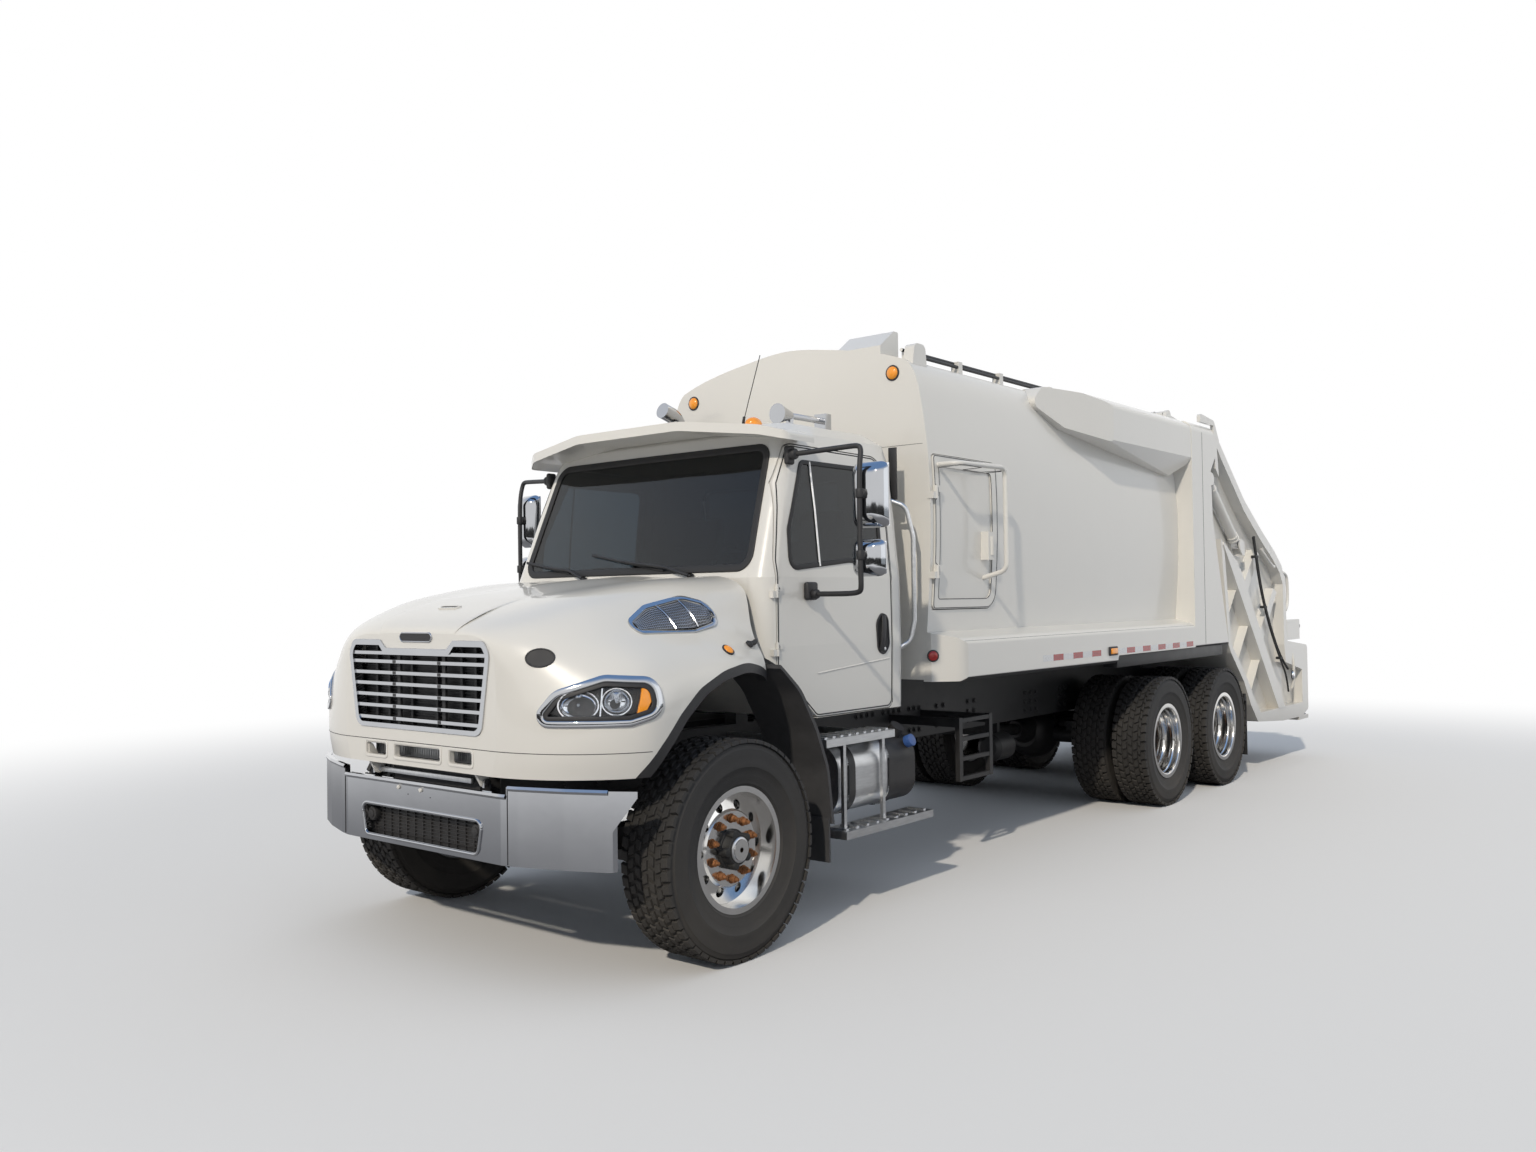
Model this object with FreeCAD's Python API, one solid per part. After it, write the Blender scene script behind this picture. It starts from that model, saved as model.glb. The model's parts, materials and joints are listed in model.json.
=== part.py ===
import FreeCAD, Part
import math
import os
from FreeCAD import Vector

# Rear-loading refuse truck: a three-axle conventional cab chassis with a curved-side load body and a
# lifting tailgate.
#
# Millimetres. X points forward, Y to the driver's left, Z up. The origin is on the ground, under the
# middle of the truck.
# Every function below works in stations: x is measured from the front axle, forward positive. save()
# moves each finished
# piece by FRONT_AXLE_X, so that the origin ends up half way between the bumper and the hopper.

# Lengths along the truck
FRONT_OVERHANG = 945.0
WHEELBASE = 5280.0
TANDEM_SPACING = 1320.0
REAR_OVERHANG = 2500.0
OVERALL_LENGTH = FRONT_OVERHANG + WHEELBASE + TANDEM_SPACING + REAR_OVERHANG
FRONT_AXLE_X = OVERALL_LENGTH / 2 - FRONT_OVERHANG
REAR_AXLE_1 = -WHEELBASE
REAR_AXLE_2 = -WHEELBASE - TANDEM_SPACING
REAR_END = -WHEELBASE - TANDEM_SPACING - REAR_OVERHANG

# Width over the body, and the clearances between pieces
HALF_WIDTH = 1219.0
SEAT_GAP = 0.3
DOOR_GAP = 6.0

# Wheels and tyres
FRONT_TYRE_RADIUS = 520.0
FRONT_TYRE_WIDTH = 300.0
REAR_TYRE_RADIUS = 515.0
REAR_TYRE_WIDTH = 280.0
DUAL_SPACING = 342.0
RIM_FLANGE_RADIUS = 298.0
RIM_SEAT_RADIUS = 284.0
RIM_INNER_RADIUS = 262.0
RIM_WIDTH = 236.0
RIM_LIP = 14.0
DISC_THICKNESS = 16.0
HAND_HOLES = 10
HAND_HOLE_RADIUS = 24.0
HAND_HOLE_CIRCLE = 208.0
HUB_RADIUS = 112.0
SPINDLE_RADIUS = 38.0
TYRE_SIDES = 28
FRONT_WHEEL_Y = HALF_WIDTH - FRONT_TYRE_WIDTH / 2
REAR_OUTER_Y = HALF_WIDTH - 5.0 - REAR_TYRE_WIDTH / 2
KINGPIN_Y = 905.0
KINGPIN_RADIUS = 42.0

# Chassis frame
RAIL_OUTER_Y = 432.0
RAIL_BOTTOM = 740.0
RAIL_HEIGHT = 257.0
RAIL_FLANGE = 85.0
RAIL_WALL = 10.0
RAIL_FRONT = 800.0
RAIL_REAR = -6930.0
RAIL_TOP = RAIL_BOTTOM + RAIL_HEIGHT
RAIL_INNER_Y = RAIL_OUTER_Y - RAIL_WALL

# What a workshop fastens to the front
PLATE_HOLE_SPACING = 177.8
PLATE_HOLE_RADIUS = 3.5
PLATE_HOLE_Z = 790.0
TOW_EYE_X = 780.0
TOW_EYE_Y = 385.0
TOW_EYE_Z = 660.0
TOW_EYE_RADIUS = 20.0
TOW_PLATE = 30.0

# Cab
CAB_FLOOR = 1060.0
CAB_FRONT = -418.0
CAB_REAR = -1722.0
HOOD_GAP = 14.0
HOOD_PIVOT = (885.0, 880.0)
HOOD_ARM_Y = 414.0
HOOD_ARM = 16.0
HOOD_PIN = 11.0
CAB_HALF_WIDTH = 1020.0
CAB_WALL = 45.0
GLASS = 10.0
BELT_LINE = 1812.0
DOOR_HINGE = (-505.0, 1022.0)
DOOR_HINGE_Z = (1440.0, 1740.0)
DOOR_HINGE_RADIUS = 9.0
DOOR_KNUCKLE = 35.0
ROOF_EDGE = 2600.0

# Refuse body
BODY_FRONT = -1897.0
BODY_REAR = -5862.0
BODY_FLOOR = 1200.0
BODY_WALL = 30.0
BODY_HALF_WIDTH = 1088.0
BODY_CROWN = 3325.0
SKIRT_BOTTOM = 1190.0

# Tailgate
SEAM_TOP_X = -6400.0
SEAM_BOTTOM_X = -6700.0
SEAM_TOP_Z = 3120.0
SEAM_BOTTOM_Z = 1225.0
SEAM_GAP = 12.0
TAILGATE_PIVOT_X = -6010.0
TAILGATE_PIVOT_Z = 3240.0
TAILGATE_WALL = 30.0
TAILGATE_HALF_WIDTH = 1110.0
SWEEP_RADIUS = 970.0
SWEEP_CLEARANCE = 30.0
SLIDE_STROKE = 600.0
SLIDE_ANGLE = 47.7

# Lift cylinders of the tailgate
LIFT_Y = 1165.0
LIFT_BASE = (-6352.0, 2700.0)
LIFT_EYE = (-7080.0, 2150.0)
LIFT_BARREL_RADIUS = 45.0
LIFT_ROD_RADIUS = 27.0
LIFT_PIN_RADIUS = 22.0
LIFT_EYE_HALF = 29.0
# Room round the sweep of the cylinder, whose eye sinks 176 below its ears in mid travel
LIFT_CLEARANCE = 8.0


def vec(x, y, z):
    return Vector(float(x), float(y), float(z))


def box(x0, x1, y0, y1, z0, z1):
    """A box between two corners, given in any order."""
    low = vec(min(x0, x1), min(y0, y1), min(z0, z1))
    return Part.makeBox(abs(x1 - x0), abs(y1 - y0), abs(z1 - z0), low)


def on_plane(plane, u, v, w):
    """The point with in-plane coordinates u, v at offset w along the plane's normal."""
    if plane == "xz":
        return vec(u, w, v)
    if plane == "yz":
        return vec(w, u, v)
    return vec(u, v, w)


def outline(plane, points, w=0.0):
    """A closed wire through points (u, v) or (u, v, corner radius)."""
    corners = [on_plane(plane, p[0], p[1], w) for p in points]
    radii = [p[2] if len(p) > 2 else 0.0 for p in points]
    count = len(corners)
    starts, ends, arcs = [], [], []
    for i, corner in enumerate(corners):
        before = corners[i - 1] - corner
        after = corners[(i + 1) % count] - corner
        if radii[i] <= 0:
            starts.append(corner)
            ends.append(corner)
            arcs.append(None)
            continue
        a = Vector(before).normalize()
        b = Vector(after).normalize()
        half = a.getAngle(b) / 2
        reach = min(radii[i] / math.tan(half), 0.49 * before.Length, 0.49 * after.Length)
        radius = reach * math.tan(half)
        middle = corner + (a + b).normalize() * (radius / math.sin(half) - radius)
        starts.append(corner + a * reach)
        ends.append(corner + b * reach)
        arcs.append(middle)
    edges = []
    for i in range(count):
        if arcs[i] is not None:
            edges.append(Part.Arc(starts[i], arcs[i], ends[i]).toShape())
        following = starts[(i + 1) % count]
        if (following - ends[i]).Length > 1e-6:
            edges.append(Part.makeLine(ends[i], following))
    return Part.Wire(edges)


def prism(plane, points, w0, w1):
    """An outline extruded from offset w0 to w1 along the plane's normal."""
    face = Part.Face(outline(plane, points, w0))
    return face.extrude(on_plane(plane, 0, 0, w1 - w0))


def rod(start, end, radius):
    """A cylinder between two points."""
    start, end = vec(*start), vec(*end)
    return Part.makeCylinder(radius, (end - start).Length, start, end - start)


def pipe(points, radius, bend):
    """A bent tube along straight runs, with an arc at each corner."""
    corners = [vec(*p) for p in points]
    edges, here = [], corners[0]
    for i in range(1, len(corners) - 1):
        a = (corners[i - 1] - corners[i]).normalize()
        b = (corners[i + 1] - corners[i]).normalize()
        half = a.getAngle(b) / 2
        room = 0.45 * min((corners[i - 1] - corners[i]).Length, (corners[i + 1] - corners[i]).Length)
        reach = min(bend / math.tan(half), room)
        turn = reach * math.tan(half)
        first, last = corners[i] + a * reach, corners[i] + b * reach
        middle = corners[i] + (a + b).normalize() * (turn / math.sin(half) - turn)
        edges.append(Part.makeLine(here, first))
        edges.append(Part.Arc(first, middle, last).toShape())
        here = last
    edges.append(Part.makeLine(here, corners[-1]))
    path = Part.Wire(edges)
    ring = Part.Wire(Part.makeCircle(radius, corners[0], corners[1] - corners[0]))
    return path.makePipeShell([ring], True, False)


def fuse(*shapes):
    """One solid, or several that don't touch, from overlapping pieces."""
    joined = shapes[0].multiFuse(list(shapes[1:])) if len(shapes) > 1 else shapes[0]
    return joined.removeSplitter()


def both(shape):
    """The shape and its mirror image on the other side."""
    return Part.makeCompound([shape, mirrored(shape)])


def mirrored(shape):
    return shape.mirror(vec(0, 0, 0), vec(0, 1, 0))


def save(name, shape):
    """Write one piece, moved from stations to the truck's own origin."""
    moved = shape.copy()
    moved.translate(vec(FRONT_AXLE_X, 0, 0))
    moved = Part.makeCompound(moved.Solids) if len(moved.Solids) > 1 else moved.Solids[0]
    moved.exportStep("parts/" + name + ".step")


# Wheels

def ring_stack(profile, sides):
    """A many-sided ring: profile is a closed list of (y, apothem), swept round the wheel's axis."""
    grow = 1 / math.cos(math.pi / sides)
    angles = [2 * math.pi * (k + 0.5) / sides for k in range(sides + 1)]
    faces = []
    count = len(profile)
    for i in range(count):
        (y0, r0), (y1, r1) = profile[i], profile[(i + 1) % count]
        for a, b in zip(angles[:-1], angles[1:]):
            p = [vec(r * grow * math.sin(t), y, -r * grow * math.cos(t))
                 for y, r, t in ((y0, r0, a), (y0, r0, b), (y1, r1, b), (y1, r1, a))]
            faces.append(Part.Face(Part.makePolygon(p + [p[0]])))
    shell = Part.makeShell(faces)
    shell.sewShape()
    solid = Part.makeSolid(shell)
    if solid.Volume < 0:
        solid.reverse()
    return solid


def tyre(radius, width):
    """A tyre centred on the origin, turning about Y."""
    half = width / 2
    bead = RIM_SEAT_RADIUS + SEAT_GAP
    seat = RIM_WIDTH / 2 - RIM_LIP - SEAT_GAP
    side = [(seat, bead), (seat, RIM_FLANGE_RADIUS + SEAT_GAP), (half, 0.5 * (bead + radius)),
            (0.47 * width, 0.91 * radius), (0.40 * width, radius)]
    profile = [(-y, r) for y, r in side] + side[::-1]
    return ring_stack(profile, TYRE_SIDES)


def spun(profile):
    """A solid of revolution about Y from a closed list of (y, radius)."""
    wire = Part.makePolygon([vec(r, y, 0) for y, r in profile] + [vec(profile[0][1], profile[0][0], 0)])
    return Part.Face(wire).revolve(vec(0, 0, 0), vec(0, 1, 0), 360)


def wheel_disc(face_y, fall):
    """The rim barrel with its disc. face_y is where the disc meets the hub, from the rim's middle.

    Outside the flat middle the disc steps down and falls back towards the barrel by fall.
    """
    half = RIM_WIDTH / 2
    lip = RIM_LIP
    back = face_y - DISC_THICKNESS
    return spun([
        (-half, RIM_INNER_RADIUS + 8), (-half, RIM_FLANGE_RADIUS), (-half + lip, RIM_FLANGE_RADIUS),
        (-half + lip, RIM_SEAT_RADIUS), (half - lip, RIM_SEAT_RADIUS), (half - lip, RIM_FLANGE_RADIUS),
        (half, RIM_FLANGE_RADIUS), (half, RIM_INNER_RADIUS + 8),
                (max(face_y - fall, -half + lip), RIM_INNER_RADIUS),
        (face_y - fall * 0.35, 186.0), (face_y, 176.0), (face_y, HUB_RADIUS - 20), (back, HUB_RADIUS - 20),
                (back, 176.0),
        (back - fall * 0.35, 186.0), (back - fall - 2, RIM_INNER_RADIUS),
    ])


def hand_holes(face_y):
    """The ring of cooling holes through the disc."""
    tools = []
    for k in range(HAND_HOLES):
        angle = 2 * math.pi * (k + 0.5) / HAND_HOLES
        x, z = HAND_HOLE_CIRCLE * math.sin(angle), HAND_HOLE_CIRCLE * math.cos(angle)
        tools.append(rod((x, face_y - 60, z), (x, face_y + 60, z), HAND_HOLE_RADIUS))
    return tools


def hub(y0, y1, cap_y):
    """The hub with its bore for the spindle, a flange behind the disc and a closed cap."""
    bore = SPINDLE_RADIUS + SEAT_GAP
    return spun([
        (y0, bore), (y0, HUB_RADIUS - 30), (y1 - 24, HUB_RADIUS + 55), (y1, HUB_RADIUS + 55),
        (y1, HUB_RADIUS - 22), (cap_y - 30, 62.0), (cap_y, 50.0), (cap_y, 0.0), (cap_y - 24, 0.0),
                (cap_y - 24, bore),
    ])


def front_wheel():
    """Disc wheel whose face stands out past the rim's middle, with its hub and brake drum."""
    face = 62.0
    disc = wheel_disc(face, 34.0).cut(Part.makeCompound(hand_holes(face)))
    middle = hub(KINGPIN_Y + 110 - FRONT_WHEEL_Y, face - DISC_THICKNESS, 128.0)
    drum = spun([(-118.0, 215.0), (-118.0, 200.0), (-8.0, 200.0), (-8.0, 132.0), (6.0, 132.0),
                 (6.0, 215.0)])
    return fuse(disc, middle, drum)


def rear_wheels():
    """Two rims back to back with one hub. The origin is midway between them."""
    reach = DUAL_SPACING / 2
    face = -reach + 22.0
    outer = wheel_disc(face, 0.0)
    outer = outer.cut(Part.makeCompound(hand_holes(face)))
    outer.translate(vec(0, reach, 0))
    inner = wheel_disc(face, 0.0)
    inner.rotate(vec(0, 0, 0), vec(0, 0, 1), 180)
    inner.translate(vec(0, -reach, 0))
    bore = SPINDLE_RADIUS + SEAT_GAP
    drum = spun([(-reach - 30, bore), (-reach - 30, 205.0), (-22, 205.0), (-22, 165.0), (24, 165.0),
                 (24, 92.0), (110.0, 92.0), (150.0, 70.0), (150.0, 0.0), (120.0, 0.0), (120.0, bore)])
    return fuse(outer, inner, drum)


def make_wheels():
    for side, sign in (("left", 1), ("right", -1)):
        turn = 0 if sign > 0 else 180
        pieces = {
            "front_tyre_" + side: (tyre(FRONT_TYRE_RADIUS, FRONT_TYRE_WIDTH), 0.0, FRONT_WHEEL_Y,
                                   FRONT_TYRE_RADIUS),
            "front_rim_" + side: (front_wheel(), 0.0, FRONT_WHEEL_Y, FRONT_TYRE_RADIUS),
        }
        pair_y = REAR_OUTER_Y - DUAL_SPACING / 2
        for number, station in (("1", REAR_AXLE_1), ("2", REAR_AXLE_2)):
            pair = []
            for offset in (-DUAL_SPACING / 2, DUAL_SPACING / 2):
                one = tyre(REAR_TYRE_RADIUS, REAR_TYRE_WIDTH)
                one.translate(vec(0, offset, 0))
                pair.append(one)
            pieces["rear_tyres_" + number + "_" + side] = (Part.makeCompound(pair), station, pair_y,
                                                           REAR_TYRE_RADIUS)
            pieces["rear_rims_" + number + "_" + side] = (rear_wheels(), station, pair_y, REAR_TYRE_RADIUS)
        for name, (shape, x, y, z) in pieces.items():
            shape.rotate(vec(0, 0, 0), vec(0, 0, 1), turn)
            shape.translate(vec(x, sign * y, z))
            save(name, shape)


# Axles, springs and steering

def make_front_axle():
    """A dropped I-beam axle, ending in the kingpin eyes, with a leaf spring over each side."""
    depth = 45.0
    eye_low, eye_high = FRONT_TYRE_RADIUS - 62, FRONT_TYRE_RADIUS + 62
    beam = prism("yz", [
        (-KINGPIN_Y, eye_low + 12), (-KINGPIN_Y + 130, eye_low + 8, 60), (-560, 385, 80), (560, 385, 80),
        (KINGPIN_Y - 130, eye_low + 8, 60), (KINGPIN_Y, eye_low + 12), (KINGPIN_Y, eye_high - 12),
        (KINGPIN_Y - 120, eye_high - 20, 60), (600, 475, 80), (-600, 475, 80),
                (-KINGPIN_Y + 120, eye_high - 20, 60),
        (-KINGPIN_Y, eye_high - 12)], -depth, depth)
    pieces = [beam]
    for sign in (1, -1):
        pieces.append(rod((0, sign * KINGPIN_Y, eye_low), (0, sign * KINGPIN_Y, eye_high),
                          KINGPIN_RADIUS + 14))
        pieces.append(leaf_spring(sign * (RAIL_OUTER_Y - 40), 475.0))
    save("front_axle", fuse(*pieces))


def leaf_spring(y, seat_z):
    """One pack of leaves from hanger to shackle, seated on the axle and reaching the frame rail above."""
    half, reach, thick = 38.0, 660.0, 26.0
    end_z = RAIL_BOTTOM - 60
    low = Part.Arc(vec(-reach, 0, end_z - thick), vec(0, 0, seat_z), vec(reach, 0, end_z - thick)).toShape()
    high = Part.Arc(vec(reach, 0, end_z), vec(0, 0, seat_z + 62), vec(-reach, 0, end_z)).toShape()
    sides = [Part.makeLine(vec(reach, 0, end_z - thick), vec(reach, 0, end_z)),
             Part.makeLine(vec(-reach, 0, end_z), vec(-reach, 0, end_z - thick))]
    pack = Part.Face(Part.Wire([low, sides[0], high, sides[1]])).extrude(vec(0, 2 * half, 0))
    pack.translate(vec(0, y - half, 0))
    clamp = box(-95, 95, y - half - 14, y + half + 14, seat_z - 30, seat_z + 84)
    pieces = [pack, clamp]
    for end in (-1, 1):
        pieces.append(box(end * (reach - 50), end * (reach + 10), y - half - 6, y + half + 6, end_z - 40,
                          RAIL_BOTTOM))
    return fuse(*pieces)


def make_knuckles():
    """The yokes that turn on the kingpins, each with its spindle and steering arm."""
    middle = FRONT_TYRE_RADIUS
    for side, sign in (("left", 1), ("right", -1)):
        y = KINGPIN_Y
        pin = KINGPIN_RADIUS + 14
        pieces = []
        for low, high in ((middle + 62 + SEAT_GAP, middle + 112), (middle - 112, middle - 62 - SEAT_GAP)):
            pieces.append(rod((0, y, low), (0, y, high), pin))
            pieces.append(box(-pin + 6, pin - 6, y, y + 76, low, high))
        pieces.append(box(-60, 60, y + 62, y + 92, middle - 112, middle + 112))
        pieces.append(rod((0, y + 80, middle), (0, FRONT_WHEEL_Y + 100, middle), SPINDLE_RADIUS))
        pieces.append(rod((0, y + 88, middle), (0, y + 104, middle), 118.0))
        pieces.append(prism("xy", [(20, y + 64), (-200, y - 60, 30), (-232, y - 60), (-232, y - 92),
                                   (-190, y - 96, 30), (30, y + 30)],
                            middle - 108, middle - 80).cut(rod((0, y, middle - 120), (0, y, middle - 60),
                                                               pin - 4)))
        knuckle = fuse(*pieces)
        save("knuckle_" + side, knuckle if sign > 0 else mirrored(knuckle))


def make_rear_axles():
    """Two drive axles: a tapered beam with a round differential housing, and spindles out to the wheels."""
    pieces = []
    inner = REAR_OUTER_Y - DUAL_SPACING - 30
    for station in (REAR_AXLE_1, REAR_AXLE_2):
        z = REAR_TYRE_RADIUS
        tube_end = inner - 90
        beam = rod((station, -tube_end, z), (station, tube_end, z), 68.0)
        spindle = rod((station, -(REAR_OUTER_Y - DUAL_SPACING / 2 + 110), z),
                      (station, REAR_OUTER_Y - DUAL_SPACING / 2 + 110, z), SPINDLE_RADIUS)
        banjo = Part.makeSphere(225.0, vec(station, 0, z + 10))
        banjo = banjo.common(box(station - 190, station + 190, -260, 260, z - 230, z + 250))
        nose = Part.makeCone(135.0, 70.0, 190.0, vec(station + 150, 0, z + 45), vec(1, 0, 0.04))
        pads = [box(station - 75, station + 75, s * (RAIL_OUTER_Y - 85), s * (RAIL_OUTER_Y + 5), z + 40,
                    z + 92) for s in (1, -1)]
        pieces.append(fuse(beam, spindle, banjo, nose, *pads))
    save("rear_axles", Part.makeCompound(pieces))


def make_rear_suspension():
    """A walking-beam style bogie: one saddle on each rail, with a leaf pack reaching both axles."""
    centre = (REAR_AXLE_1 + REAR_AXLE_2) / 2
    reach = TANDEM_SPACING / 2
    seat = REAR_TYRE_RADIUS + 92
    pieces = []
    for sign in (1, -1):
        y0, y1 = sorted((sign * (RAIL_OUTER_Y - 80), sign * RAIL_OUTER_Y))
        beam = prism("xz", [(centre - reach - 90, seat), (centre + reach + 90, seat),
                            (centre + reach + 90, seat + 30),
                            (centre + 180, seat + 108, 120), (centre - 180, seat + 108, 120),
                                    (centre - reach - 90, seat + 30)], y0, y1)
        saddle = prism("xz", [(centre - 150, RAIL_BOTTOM), (centre + 150, RAIL_BOTTOM),
                              (centre + 90, seat + 70), (centre - 90, seat + 70)], y0, y1)
        pieces.append(fuse(beam, saddle))
    save("rear_suspension", Part.makeCompound(pieces))


# Chassis

CROSS_MEMBERS = [
    # station of the middle, and whether it sits on the lower or the upper flanges
    (720.0, "lower"), (-1420.0, "upper"), (-2650.0, "upper"), (-3850.0, "upper"),
    (REAR_AXLE_1 + 620, "upper"), ((REAR_AXLE_1 + REAR_AXLE_2) / 2, "upper"), (RAIL_REAR + 60, "upper"),
]


def rail(sign):
    """One channel rail, open towards the middle of the truck."""
    inner = RAIL_OUTER_Y - RAIL_FLANGE
    top, bottom = RAIL_TOP - RAIL_WALL, RAIL_BOTTOM + RAIL_WALL
    section = [(RAIL_OUTER_Y, RAIL_BOTTOM), (RAIL_OUTER_Y, RAIL_TOP), (inner, RAIL_TOP), (inner, top),
               (RAIL_INNER_Y, top), (RAIL_INNER_Y, bottom), (inner, bottom), (inner, RAIL_BOTTOM)]
    return prism("yz", [(sign * y, z) for y, z in section], RAIL_REAR, RAIL_FRONT)


def tow_lug(sign):
    """A thick plate that hangs from the rail's front end, with a bore that faces forward."""
    plate = prism("yz", [(sign * y, z, r) for y, z, r in (
        (RAIL_OUTER_Y, RAIL_BOTTOM, 0), (RAIL_OUTER_Y, TOW_EYE_Z - 20, 24),
                (TOW_EYE_Y + 18, TOW_EYE_Z - 45, 30),
        (TOW_EYE_Y - 18, TOW_EYE_Z - 45, 30), (RAIL_OUTER_Y - RAIL_FLANGE, TOW_EYE_Z - 20, 24),
        (RAIL_OUTER_Y - RAIL_FLANGE, RAIL_BOTTOM, 0))], TOW_EYE_X - TOW_PLATE / 2,
                TOW_EYE_X + TOW_PLATE / 2)
    bore = rod((TOW_EYE_X - TOW_PLATE, sign * TOW_EYE_Y, TOW_EYE_Z),
               (TOW_EYE_X + TOW_PLATE, sign * TOW_EYE_Y, TOW_EYE_Z),
               TOW_EYE_RADIUS)
    return plate.cut(bore)


def side_ladder():
    """The open black frame that hangs beside the left rail behind the cab, on two arms."""
    y = 950.0
    posts = [box(x - 20, x + 20, y - 16, y + 16, 522, 926) for x in (-2416.0, -2801.0)]
    rungs = [box(-2801, -2416, y - 14, y + 14, z - 13, z + 13) for z in (536.0, 662.0, 788.0, 906.0)]
    arms = [box(x - 20, x + 20, RAIL_OUTER_Y - 4, y, 866, 922) for x in (-2416.0, -2801.0)]
    return fuse(*posts, *rungs, *arms)


def air_tank(sign, x0, x1):
    """A brake air tank under the rail, with domed ends, on two hangers."""
    y, z, radius = sign * 452.0, 570.0, 102.0
    middle = Part.makeCylinder(radius, x1 - x0 - 60, vec(x0 + 30, y, z), vec(1, 0, 0))
    domes = [Part.makeCone(radius, radius - 34, 30, vec(x1 - 30, y, z), vec(1, 0, 0)),
             Part.makeCone(radius, radius - 34, 30, vec(x0 + 30, y, z), vec(-1, 0, 0))]
    hangers = [box(x - 18, x + 18, sign * (RAIL_OUTER_Y - 60), sign * RAIL_OUTER_Y, z + 60, RAIL_BOTTOM + 4)
               for x in (x0 + 70, x1 - 70)]
    return fuse(middle, *domes, *hangers)


def make_chassis_frame():
    """Two channel rails with the cab's feet, the tow lugs, the side ladder and the air tanks."""
    pieces = []
    for sign in (1, -1):
        inner = RAIL_OUTER_Y - RAIL_FLANGE
        feet = [box(x - 50, x + 50, sign * inner, sign * RAIL_OUTER_Y, RAIL_TOP - 5, CAB_FLOOR)
                for x in (-900.0, CAB_REAR + 80)]
        pieces += [rail(sign), tow_lug(sign), *feet, air_tank(sign, -3943.0, -3677.0
                       if sign > 0 else -3343.0)]
    save("chassis_frame", fuse(*pieces, side_ladder()))
    upper = (RAIL_TOP - 110, RAIL_TOP - RAIL_WALL)
    lower = (RAIL_BOTTOM + RAIL_WALL, RAIL_BOTTOM + 95)
    members = []
    for station, place in CROSS_MEMBERS:
        z0, z1 = lower if place == "lower" else upper
        members.append(box(station - 45, station + 45, -RAIL_INNER_Y, RAIL_INNER_Y, z0, z1))
    save("cross_members", Part.makeCompound(members))


def bumper_plan(offset):
    """Plan outline of the bumper's face, moved back by offset."""
    face = FRONT_OVERHANG - offset
    return [(face, 0), (face, 610), (face - 22, 700), (face - 95, 920), (face - 175, 1100),
            (face - 246, HALF_WIDTH - offset * 0.55)]


def make_bumper():
    """A bent steel bumper with swept ends, a rolled top edge, an opening and two brackets to the rails."""
    wall = 26.0
    low, high, high_end = 540.0, 848.0, 886.0
    outer = bumper_plan(0)
    inner = bumper_plan(wall)
    half = outer + inner[::-1]
    blank = prism("xy", half[:2] + [(x, y, 60) for x, y in half[2:5]] + half[5:7] + [(x, y, 60) for x,
                      y in half[7:10]] + half[10:], low, high_end)
    ledge_plan = bumper_plan(0) + bumper_plan(45)[::-1]
    ledge = prism("xy", ledge_plan, high - 16, high)
    wing_top = prism("xz", [(200, high_end + 1), (FRONT_OVERHANG + 10, high_end + 1),
                            (FRONT_OVERHANG + 10, high), (200, high)], 0, 640)
    blank = blank.cut(wing_top)
    end_cut = prism("xz", [(500, 500), (FRONT_OVERHANG - 150, 500), (FRONT_OVERHANG - 130, 560, 40),
                           (FRONT_OVERHANG - 262, 900), (500, 900)], HALF_WIDTH - 95, HALF_WIDTH + 5)
    shape = fuse(blank, ledge)
    shape = fuse(shape, mirrored(shape))
    shape = shape.cut(end_cut).cut(mirrored(end_cut))
    opening = prism("yz", [(-470, 712, 30), (470, 712, 30), (440, 574, 30), (-440, 574, 30)], 700,
                    FRONT_OVERHANG + 5)
    shape = shape.cut(opening)
    brackets = [box(RAIL_FRONT, FRONT_OVERHANG - wall + 2, s * (RAIL_OUTER_Y - 60), s * RAIL_OUTER_Y,
                    RAIL_BOTTOM + 20, high - 30) for s in (1, -1)]
    px, pz = HOOD_PIVOT
    for s in (1, -1):
        arm_y = HOOD_ARM_Y + HOOD_ARM
        sides = sorted((s * (arm_y + SEAT_GAP), s * (arm_y + 14)))
        brackets.append(prism("xz", [(px - 20, high - 60), (px + 20, high - 60), (px + 20, pz + 20, 18),
                                     (px - 20, pz + 20, 18)], *sides))
        brackets.append(box(px - 20, px + 20, s * (RAIL_OUTER_Y - 5), s * (HOOD_ARM_Y + HOOD_ARM + 14),
                            high - 60, high - 32))
        brackets.append(rod((px, s * (HOOD_ARM_Y - 6), pz), (px, s * (HOOD_ARM_Y + HOOD_ARM + 10), pz),
                            HOOD_PIN))
    shape = fuse(shape, *brackets)
    holes = [rod((FRONT_OVERHANG - wall - 5, s * PLATE_HOLE_SPACING / 2, PLATE_HOLE_Z),
                 (FRONT_OVERHANG + 5, s * PLATE_HOLE_SPACING / 2, PLATE_HOLE_Z), PLATE_HOLE_RADIUS)
             for s in (1, -1)]
    save("front_bumper", shape.cut(holes))


def make_engine():
    """The engine and gearbox as plain blocks, on brackets that sit on the rails."""
    engine = box(-318, 590, -325, 325, 650, 1390)
    gearbox = box(-1150, -318, -220, 220, 690, 1010)
    mounts = [box(60, 200, s * 300, s * (RAIL_OUTER_Y - 5), RAIL_TOP, RAIL_TOP + 46) for s in (1, -1)]
    mounts += [box(-1130, -1010, s * 200, s * (RAIL_OUTER_Y - 5), RAIL_TOP, RAIL_TOP + 12) for s in (1, -1)]
    save("engine_block", fuse(engine, gearbox, *mounts))


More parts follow.
